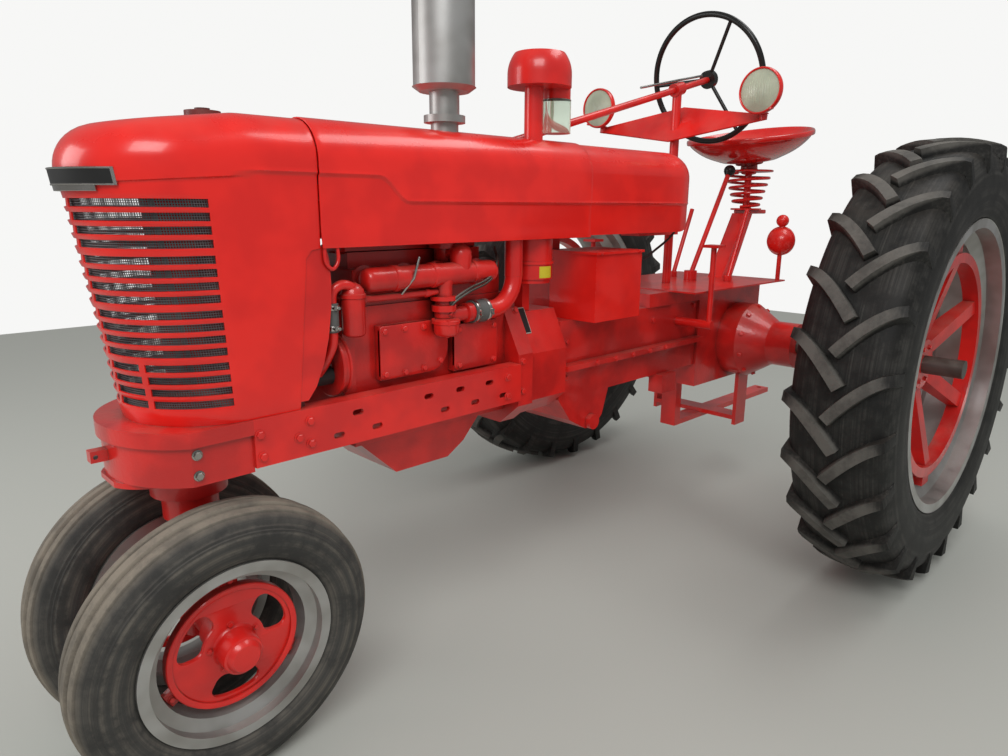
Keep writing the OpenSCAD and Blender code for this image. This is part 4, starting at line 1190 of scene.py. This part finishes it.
def makeLens(m, t, centre):  # ribbed outside, bulging, flat behind
    rings, sides = 24, 96
    turns = [2 * pi * i / sides for i in range(sides)]

    def on(x, y, z):
        return centre + Vector((x, y, z)) / 1000

    verts = [on(t["lensX"] + t["bulge"], 0, 0)]
    for k in range(1, rings + 1):
        r = t["radius"] * k / rings
        for a in turns:
            flute = t["fluteDepth"] * cos(2 * pi * r * cos(a) / t["flutePitch"]) * min(1.0, (rings - k) / 4)
            verts.append(on(t["lensX"] + t["bulge"] * (1 - (k / rings) ** 2) + flute, r * cos(a), r * sin(a)))
    last = len(verts)
    verts += [on(t["lensBackX"], t["radius"] * cos(a), t["radius"] * sin(a)) for a in turns]
    verts.append(on(t["lensBackX"], 0, 0))
    faces = [(0, 1 + i, 1 + (i + 1) % sides) for i in range(sides)]
    for k in range(rings):
        for i in range(sides):
            a, c = 1 + k * sides + i, 1 + k * sides + (i + 1) % sides
            faces.append((a, a + sides, c + sides, c))
    faces += [(last + sides, last + (i + 1) % sides, last + i) for i in range(sides)]
    m.add(verts, faces)


def makeLamps(t):
    lens, rim, bowl = Mesher(), Mesher(), Mesher()
    tall = t["stemTop"] - t["stemFoot"]
    for side in (1, -1):
        centre = at(t["x"], side * t["y"], t["z"])
        makeLens(lens, t, centre)
        rim.turned(t["rim"], centre, forward, 72)
        bowl.turned(t["bowl"], centre, forward, 72)
        foot = [(0, 0), (0, 17), (3, 17), (6, t["stem"]), (tall, t["stem"]), (tall, 0)]
        bowl.turned(foot, at(t["x"] + t["stemX"], side * t["y"], t["stemFoot"]), upward, 32)
        # the screw that draws the rim shut
        a, r = radians(t["screwTurn"]), t["screwRadius"]
        screw = at(t["x"] + t["screwX"], side * t["y"] + r * cos(a) * side, t["z"] - r * sin(a))
        rim.tube([screw - Vector((0.009, 0, 0)), screw + Vector((0.009, 0, 0))], 0.0034, 10)
    lens.piece("lampGlass", "lensGlass", 60.0, ("lamp_lenses",), "lens_glass")
    bowl.piece("lampBowls", "partRed", 40.0, ("headlamps",))
    rim.piece("lampRims", "partRed", 40.0)


makeLamps(lamp)

seatSupport = {"x": -294.0, "lowZ": 1296.0, "highZ": 1452.0, "wire": 6.2, "lowRadius": 52.0, "highRadius": 94.0,
    "turns": 5, "steps": 180, "tilt": 10.0, "beamHalf": 34.0,
    "beam": [(-300, 1274), (-240, 1274), (-60, 1003), (-150, 1003)],
    "post": [(1288, 0), (1288, 64), (1290, 66), (1294, 66), (1296, 64), (1296, 24), (1302, 20), (1306, 15), (1440, 15),
        (1444, 30), (1452, 34), (1452, 102), (1454, 104), (1458, 104), (1460, 102), (1460, 44), (1466, 36), (1492, 34),
        (1492, 0)],
    "pad": [(0, 0), (0, 55), (2, 58), (12, 58), (12, 0)], "padPlace": (-293.2, 0, 1485.2),
    "shelf": ((-410, -40, 1272), (-260, 40, 1290), 3)}


def makeSeatSupport(t):
    m = Mesher()
    line = []
    for i in range(t["steps"] + 1):
        k = i / t["steps"]
        a = 2 * pi * t["turns"] * k
        r = t["lowRadius"] + (t["highRadius"] - t["lowRadius"]) * k
        z = t["lowZ"] + t["wire"] + (t["highZ"] - t["lowZ"] - 2 * t["wire"]) * k
        line.append((t["x"] + r * cos(a), r * sin(a), z))
    m.pipe(line, t["wire"], 10)
    m.turned(t["post"], at(t["x"], 0, 0), upward, 64)
    tilt = radians(t["tilt"])
    m.turned(t["pad"], at(*t["padPlace"]), (sin(tilt), 0, cos(tilt)), 56)
    m.slab(*t["shelf"])
    loops = []
    centre = Vector((sum(p[0] for p in t["beam"]) / 4, sum(p[1] for p in t["beam"]) / 4))
    for y, shrink in ((-1, 0.95), (-0.9, 1.0), (0.9, 1.0), (1, 0.95)):
        spots = [(p, centre + (Vector(p) - centre) * shrink) for p in t["beam"]]
        loops.append([at(q.x, y * t["beamHalf"], p[1] if shrink < 1 else q.y) for p, q in spots])
    m.loft(loops)
    m.piece("seatSupport", "partRed", 35.0, ("seat_frame",))


makeSeatSupport(seatSupport)
print("seat and lamps made")


# engine's left side
covers = [  # outline in x and z, the y it starts from and the y it stands out to
    (roundedOutline([(1581, 872), (1800, 872), (1800, 1010), (1581, 1010)], (62, 10, 10, 62)), 140, 151),
    (roundedOutline([(1400, 860), (1560, 860), (1560, 990), (1400, 990)], (16, 16, 16, 16)), 144, 154),
]
curtain = [(1990, 1330), (1990, 1214), (1964, 1214), (1957, 1180), (1955, 1130), (1958, 1080), (1968, 1010),
    (1984, 950), (2006, 900), (2028, 872), (2054, 872), (2054, 1330)]
ballArc = [(1247 + 25 * sin(radians(d)), 25 * cos(radians(d))) for d in range(-60, 91, 10)]


def coverLoops(outline, low, high):
    cx, cz = sum(p[0] for p in outline) / len(outline), sum(p[1] for p in outline) / len(outline)
    return [[at(x + (cx - x) * inset / 70, y, z + (cz - z) * inset / 70) for x, z in outline]
        for y, inset in ((low, 0.0), (high - 2, 0.0), (high - 0.6, 0.9), (high, 2.4))]


engineTrim = {
    "governorCasting": ("castRed", 35.0, ("governor",), "red_paint", [
        ("turned", [(1000, 0), (1000, 21), (1004, 26.5), (1010, 28), (1090, 28), (1092, 31), (1100, 31), (1102, 28),
            (1112, 25.5), (1122, 17), (1127, 8), (1128, 0)], at(1885, 168, 0), upward, 56),
        ("slab", (1868, 139, 1002), (1902, 153, 1085), 3),
        ("turned", [(1622.5, 0), (1622.5, 6), (1624, 9), (1650, 9), (1652, 11.5), (1662, 11.5), (1664, 9), (1846, 9),
            (1848, 13), (1866, 13), (1870, 9), (1870, 0)], at(0, 158, 1084), forward, 32),
        ("turned", [(1902, 0), (1902, 75), (1904, 78), (1909, 78), (1911, 74.5), (1919, 74.5), (1921, 78), (1926, 78),
            (1928, 75.5), (1928, 34), (1924, 30), (1924, 16), (1928, 14), (1928, 0)], at(0, 108, 926), forward, 72),
    ]),
    "carburettorCasting": ("castRed", 35.0, ("carburettor",), "red_paint", [
        ("turned", [(1012, 0), (1012, 22), (1015, 26), (1031, 26), (1032, 33), (1040, 33), (1040, 0)],
            at(1600, 158, 0), upward, 48),
        ("turned", [(964, 0), (964, 7), (968, 8), (968.5, 20), (973, 29), (980, 33.5), (1001, 34), (1003, 36.5),
            (1011, 36.5), (1013, 34), (1014, 30), (1014, 0)], at(1612, 182, 0), upward, 56),
        ("turned", [(1520, 0), (1520, 27), (1528, 27), (1531, 20), (1566, 18.5), (1600, 20), (1600, 0)],
            at(0, 158, 1019), forward, 48),
        ("pipe", [(1600, 132, 1024), (1600, 186, 1024)], 5, 12),  # throttle shaft and arm, then the bowl's two lugs
        ("pipe", [(1600, 184, 1022), (1584, 185, 1050)], 4, 8),
        ("pipe", [(1628, 210, 1001), (1628, 210, 1016)], 5, 8),
        ("pipe", [(1636, 158, 1001), (1636, 158, 1016)], 5, 8),
    ]),
    "manifoldCasting": ("castRed", 35.0, ("manifold",), "red_paint", [
        ("turned", [(1420, 0), (1420, 15), (1423, 23), (1429, 28), (1438, 30), (1492, 30), (1494, 33), (1506, 33),
            (1508, 30), (1632, 30), (1634, 33), (1646, 33), (1648, 30), (1752, 30), (1754, 33), (1766, 33), (1768, 30),
            (1832, 30), (1841, 28), (1847, 23), (1850, 15), (1850, 0)], at(0, 158, 1128), forward, 56),
        *[("turned", [(112, 0), (112, 33), (119, 33), (121, 24), (150, 24), (150, 0)], at(x, 0, 1128), outward, 40)
            for x in (1450, 1590, 1700, 1820)],
        ("turned", [(1128, 0), (1128, 28), (1150, 28), (1170, 30), (1186, 29), (1198, 22), (1205, 11), (1206, 0)],
            at(1540, 158, 0), upward, 48),
        ("turned", [(90, 0), (90, 24), (158, 24), (158, 0)], at(1540, 0, 1180), outward, 40),
        ("turned", [(1152, 0), (1152, 30), (1158, 34), (1190, 34), (1192, 48), (1206, 48), (1206, 0)],
            at(1540, 98, 0), upward, 48),
        ("turned", [(1040, 0), (1040, 33), (1048, 33), (1050, 24), (1060, 22), (1061, 36), (1072, 36), (1073, 23),
            (1100, 23), (1108, 27), (1118, 27), (1118, 0)], at(1600, 158, 0), upward, 40),
    ]),
    "sideCovers": ("castRed", 35.0, (), "red_paint", [("loft", coverLoops(*cover)) for cover in covers]),
    "valveCover": ("castRed", 35.0, (), "red_paint", [
        ("slab", (1392, -56, 1184), (1838, 56, 1208), 7),
        *[("turned", [(1206, 0), (1206, 13), (1209, 13), (1209, 8), (1211, 7), (1211, 0)], at(x, 0, 0), upward, 24)
            for x in (1480, 1620, 1745)],
    ]),
    "curtainPlates": ("partRed", 30.0, (), "red_paint", [
        ("loft", [[at(x, side * y, z) for x, z in curtain] for y in (186, 191.4)]) for side in (1, -1)]),
    "rearLampTrim": ("partRed", 40.0, (), "red_paint", [
        ("turned", [(1212, 0), (1212, 14), (1222, 11)] + ballArc, at(-160, 240, 0), upward, 40),
        ("turned", [(-8, 55.5), (-8, 58), (-5, 59.5), (5, 59.5), (8, 58), (8, 55.5)], at(-160, 240, 1165), forward, 64),
    ]),
    "bypassPipe": ("partRed", 40.0, (), "red_paint", [
        ("pipe", [(1885, 172, 1108), (1896, 177, 1119), (1916, 177, 1125), (1934, 173, 1118), (1943, 170, 1102),
            (1944, 170, 1080)], 11.5, 20, 6),
        ("pipe", [(1944, 170, 1020), (1944, 170, 1002), (1948, 166, 976), (1960, 150, 938), (1968, 134, 914)],
            11.5, 20, 6),
    ]),
}
makeForms(engineTrim)
print("engine trim made")


# bolts
def addStack(m, sides, levels):  # rings of (radius, height) one over the other, shut below and above
    rings = [[(r * cos(2 * pi * i / sides), r * sin(2 * pi * i / sides), h) for i in range(sides)] for r, h in levels]
    for low, high in zip(rings, rings[1:]):
        m.add(low + high, gridFaces(2, sides, closed=True))
    m.add(rings[-1], [tuple(range(sides))])
    m.add(rings[0], [tuple(range(sides - 1, -1, -1))])


def boltMesh():  # a washer and a six-sided head one unit wide, standing on its origin
    m = Mesher()
    addStack(m, 12, [(1.28, 0.0), (1.28, 0.16), (1.16, 0.22)])
    addStack(m, 6, [(1.0, 0.2), (1.0, 0.78), (0.84, 0.9)])
    mesh = newMesh("boltHead", m.verts, m.faces)
    cleanMesh(mesh, weld=1e-5)
    return newObject("boltHead", mesh)


def boltTreeOf():  # stands a shape on points, each with its own direction and size
    tree, given = startTree("boltsOnPoints", [("Shape", "Object"), ("Finish", "Material")])
    way = addNode(tree, "GeometryNodeInputNamedAttribute", {"Name": "outward"}, data_type="FLOAT_VECTOR")
    size = addNode(tree, "GeometryNodeInputNamedAttribute", {"Name": "headSize"}, data_type="FLOAT")
    turn = addNode(tree, "FunctionNodeAlignRotationToVector", {"Vector": way.outputs["Attribute"]}, axis="Z")
    return endTree(tree, given, {"Points": given["Geometry"], "Rotation": turn.outputs[0],
        "Scale": size.outputs["Attribute"]})


boltShape = boltMesh()
boltTree = boltTreeOf()
surfaces = {}


def surfaceOf(node):
    if node not in surfaces:
        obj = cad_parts[node]
        m = obj.matrix_world
        verts = [m @ v.co for v in obj.data.vertices]
        surfaces[node] = BVHTree.FromPolygons(verts, [tuple(p.vertices) for p in obj.data.polygons])
    return surfaces[node]


def touch(node, start, way):  # where a straight line from start first meets the node
    way = Vector(way).normalized()
    place, normal, _, _ = surfaceOf(node).ray_cast(Vector(start), way)
    if place is None:
        return None
    if normal.dot(way) > 0:
        normal = -normal
    return place, normal


def bolts(name, spots, mat="partRed", body="chassis"):  # spots: place, outward way, half width
    host = newMesh(name + "Host", [spot[0] for spot in spots], [])
    host.attributes.new("outward", "FLOAT_VECTOR", "POINT")
    host.attributes.new("headSize", "FLOAT", "POINT")
    for i, (_, way, half) in enumerate(spots):
        host.attributes["outward"].data[i].vector = way
        host.attributes["headSize"].data[i].value = half / 1000
    mesh = treeMesh(host, boltTree, Shape=boltShape, Finish=bpy.data.materials[mat])
    finishData(name, mesh, mat, 30.0, (), body, weld=0.0)


# columns: node, x and z in mm from the rear axle, half width of the head, whether the other side has it too,
# and how thick the plate is that the heads stand on
sideBolts = [
    ("engine_block", [(1664, 886), (1664, 996), (1788, 886), (1788, 996), (1726, 884), (1726, 998), (1610, 983),
        (1610, 899)], 7.5, False, 5.0),
    ("engine_block", [(1415, 875), (1415, 975), (1545, 875), (1545, 975)], 7.5, False, 4.0),
    ("frame_rails", [(2032, 826), (2032, 773), (2061, 792), (2153, 819), (2149, 768), (1400, 826),
        (1400, 770)], 9.5, True, 0.0),
    ("bolster", [(2286, 803), (2286, 758)], 9.0, True, 0.0),
    ("transmission", [(1078, 760), (1078, 880), (960, 799), (860, 799), (760, 799), (660, 799),
        (560, 799)], 8.0, True, 0.0),
    ("transmission", [(600, 900), (330, 930)], 9.0, True, 0.0),
    ("battery_box", [(834, 1162), (1034, 1162)], 4.5, False, 0.0),
    ("steering_post", [(311, 1450)], 7.0, True, 0.0),
    ("clutch_housing", [(1328, 770), (1328, 860), (1300, 1000)], 8.5, True, 0.0),
]
wheelBolts = {"rearClamp": (478.0, 30.0, 60.0, 9.0), "rearHub": (66.0, 0.0, 60.0, 8.0), "rearCount": 6,
    "frontClamp": (160.0, 90.0, 120.0, 7.0), "frontHub": (58.0, 10.0, 72.0, 6.5)}


def makeBolts():
    red, bright = [], []
    for node, spots, half, both, lift in sideBolts:
        for x, z in spots:
            for side in (1, -1) if both else (1,):
                hit = touch(node, at(x, side * 700, z), (0, -side, 0))
                if hit is None:
                    print("no face under bolt", node, x, z, side)
                    continue
                group = bright if node == "bolster" else red
                group.append((hit[0] + hit[1] * lift / 1000, hit[1], half))
    for i in range(10):  # round the axle carrier's flange
        a = 2 * pi * (i + 0.5) / 10
        for side in (1, -1):
            hit = touch("axle_carriers", at(139 * cos(a), side * 700, 765 + 139 * sin(a)), (0, -side, 0))
            if hit:
                red.append((hit[0], hit[1], 8.5))
    bolts("chassisBolts", red)
    bolts("bolsterBolts", bright, "brightSteel")


makeBolts()


def makeWheelBolts(t):
    for label, side in (("Left", 1), ("Right", -1)):
        low = label.lower()
        spots = []
        for r, first, step, half in (t["rearClamp"], t["rearHub"]):
            for i in range(t["rearCount"]):
                a = radians(first + i * step)
                start = Vector((rearAxleX + r / 1000 * cos(a), side * 1.6, rearAxleZ + r / 1000 * sin(a)))
                hit = touch("rear_centre_" + low, start, (0, -side, 0))
                if hit:
                    spots.append((hit[0], hit[1], half))
        bolts("rearBolts" + label, spots, body="rear_wheel_" + low)
        spots = []
        hub, axis, up = frontWheel(side, frontTyre)
        for r, first, step, half in (t["frontClamp"], t["frontHub"]):
            for i in range(int(round(360 / step))):
                a = radians(first + i * step)
                start = hub + axis * 0.4 + Vector((cos(a) * r / 1000, 0, 0)) + up * (sin(a) * r / 1000)
                hit = touch("front_disc_" + low, start, -axis)
                if hit:
                    spots.append((hit[0], hit[1], half))
        bolts("frontBolts" + label, spots, body="front_wheel_" + low)


makeWheelBolts(wheelBolts)
bpy.data.objects.remove(boltShape)
print("bolts made")

# hoses, clamps, rods and plates
fuelLine = [(1600, 174, 1034), (1588, 190, 1058), (1536, 192, 1082), (1478, 188, 1097), (1436, 176, 1116),
    (1400, 152, 1150), (1380, 120, 1180)]
lineTrim = {
    "intakeHose": ("greyRubber", 40.0, (), "hose_rubber", [
        ("turned", [(0, 10), (0, 13.5), (1.5, 15), (66.5, 15), (68, 13.5), (68, 10)], at(1944, 170, 1016), upward, 40),
        ("turned", [(0, 25.7), (0, 29.5), (1.5, 31), (56.5, 31), (58, 29.5), (58, 25.7)],
            at(1448, 158, 1020), forward, 48),
    ]),
    "hoseClamps": ("brightSteel", 35.0, (), "bare_steel", [
        *[("clamp", at(1944, 170, z), upward, 15.1) for z in (1026, 1074)],
        *[("clamp", at(x, 120, 903), forward, 22.1) for x in (1990, 2018)],
        *[("clamp", at(x, 158, 1020), forward, 31.1) for x in (1456, 1498)],
    ]),
    "controlRods": ("brightSteel", 40.0, (), "bare_steel", [  # the first lies over the steering shaft
        ("pipe", [(551, 4, 1714), (311, 4, 1766), (150, 2, 1800)], 4.5, 12),
        ("pipe", [(1703, 190, 1179), (1722, 190.5, 1128), (1741, 164, 1088)], 3.5, 10),
    ]),
    "fuelPipes": ("bareSteel", 40.0, (), "bare_steel", [
        ("pipe", [(x, y, z + shift) for x, y, z in fuelLine], 3.4, 10, 6) for shift in (0, 9)]),
    "loomWire": ("hoseRubber", 40.0, (), "hose_rubber", [
        ("pipe", [(311, 17, 1470), (330, 34, 1440), (372, 60, 1392), (360, 90, 1327), (405, 110, 1254),
            (478, 118, 1197), (579, 120, 1150), (657, 118, 1118), (760, 110, 1110), (818, 105, 1120)], 4.2, 10, 8),
    ]),
    "curtainHook": ("partRed", 40.0, (), "red_paint", [
        ("pipe", [(1938, 195, 1217), (1938, 197, 1182), (1954, 198, 1164), (1970, 197, 1182), (1970, 195, 1217)],
            4.5, 10, 6),
    ]),
}
makeForms(lineTrim)
plates = {"plateHalf": (0.020, 0.042), "fieldHalf": (0.0172, 0.0385), "labelCentre": (1228, 122), "labelFrom": 66,
    "labelSweep": 44, "labelSection": ((61.9, 1097), (62.5, 1096.5), (62.5, 1130.5), (61.9, 1130)),
    "plateOutline": ((-1, -0.85), (-0.92, -1), (0.92, -1), (1, -0.85), (1, 0.85), (0.92, 1), (-0.92, 1), (-1, 0.85))}
knob = {"place": (-125, 0, 1452), "from": (134, 0, 1023), "to": (-122, 0, 1446),
    "profile": [(-24, 0), (-24, 12.5), (-21, 13.5), (-15, 18.5), (-8, 22.5), (0, 24), (8, 23), (15, 19), (21, 12),
        (24, 0)]}


def makePlates(t):
    mid, out = touch("clutch_housing", at(1262, 500, 965), (0, -1, 0))
    up = Vector((1, 0, 0)).cross(out)
    if up.z < 0:
        up = -up

    def spot(wide, high, depth):
        return mid + out * depth / 1000 + Vector((wide, 0, 0)) + up * high

    plate, field, label = Mesher(), Mesher(), Mesher()
    loops = []
    for depth, grow in ((-0.4, 0.0), (1.2, 0.0), (1.8, -0.8)):
        a, c = (half + grow / 1000 for half in t["plateHalf"])
        loops.append([spot(sx * a, sz * c, depth) for sx, sz in t["plateOutline"]])
    plate.loft(loops)
    plate.piece("dataPlate", "plateBare", 30.0, (), "bare_steel")
    a, c = t["fieldHalf"]
    field.loft([[spot(sx * a, sz * c, depth) for sx, sz in ((-1, -1), (1, -1), (1, 1), (-1, 1))]
        for depth in (1.0, 2.1)])
    field.piece("dataPlateField", "badgeDark", 30.0, (), "black_paint")
    x, y = t["labelCentre"]
    turns = [radians(t["labelFrom"] + t["labelSweep"] * i / 16) for i in range(17)]
    label.loft([[at(x + r * cos(a), y + r * sin(a), z) for r, z in t["labelSection"]] for a in turns])
    label.piece("bareLabel", "labelYellow", 30.0, (), "silver")


def makeKnob(t):
    m = Mesher()
    m.turned(t["profile"], at(*t["place"]), (at(*t["to"]) - at(*t["from"])).normalized(), 32)
    m.piece("gearKnob", "wheelPlastic", 50.0, (), "black_plastic")


makePlates(plates)
makeKnob(knob)
print("trim made")
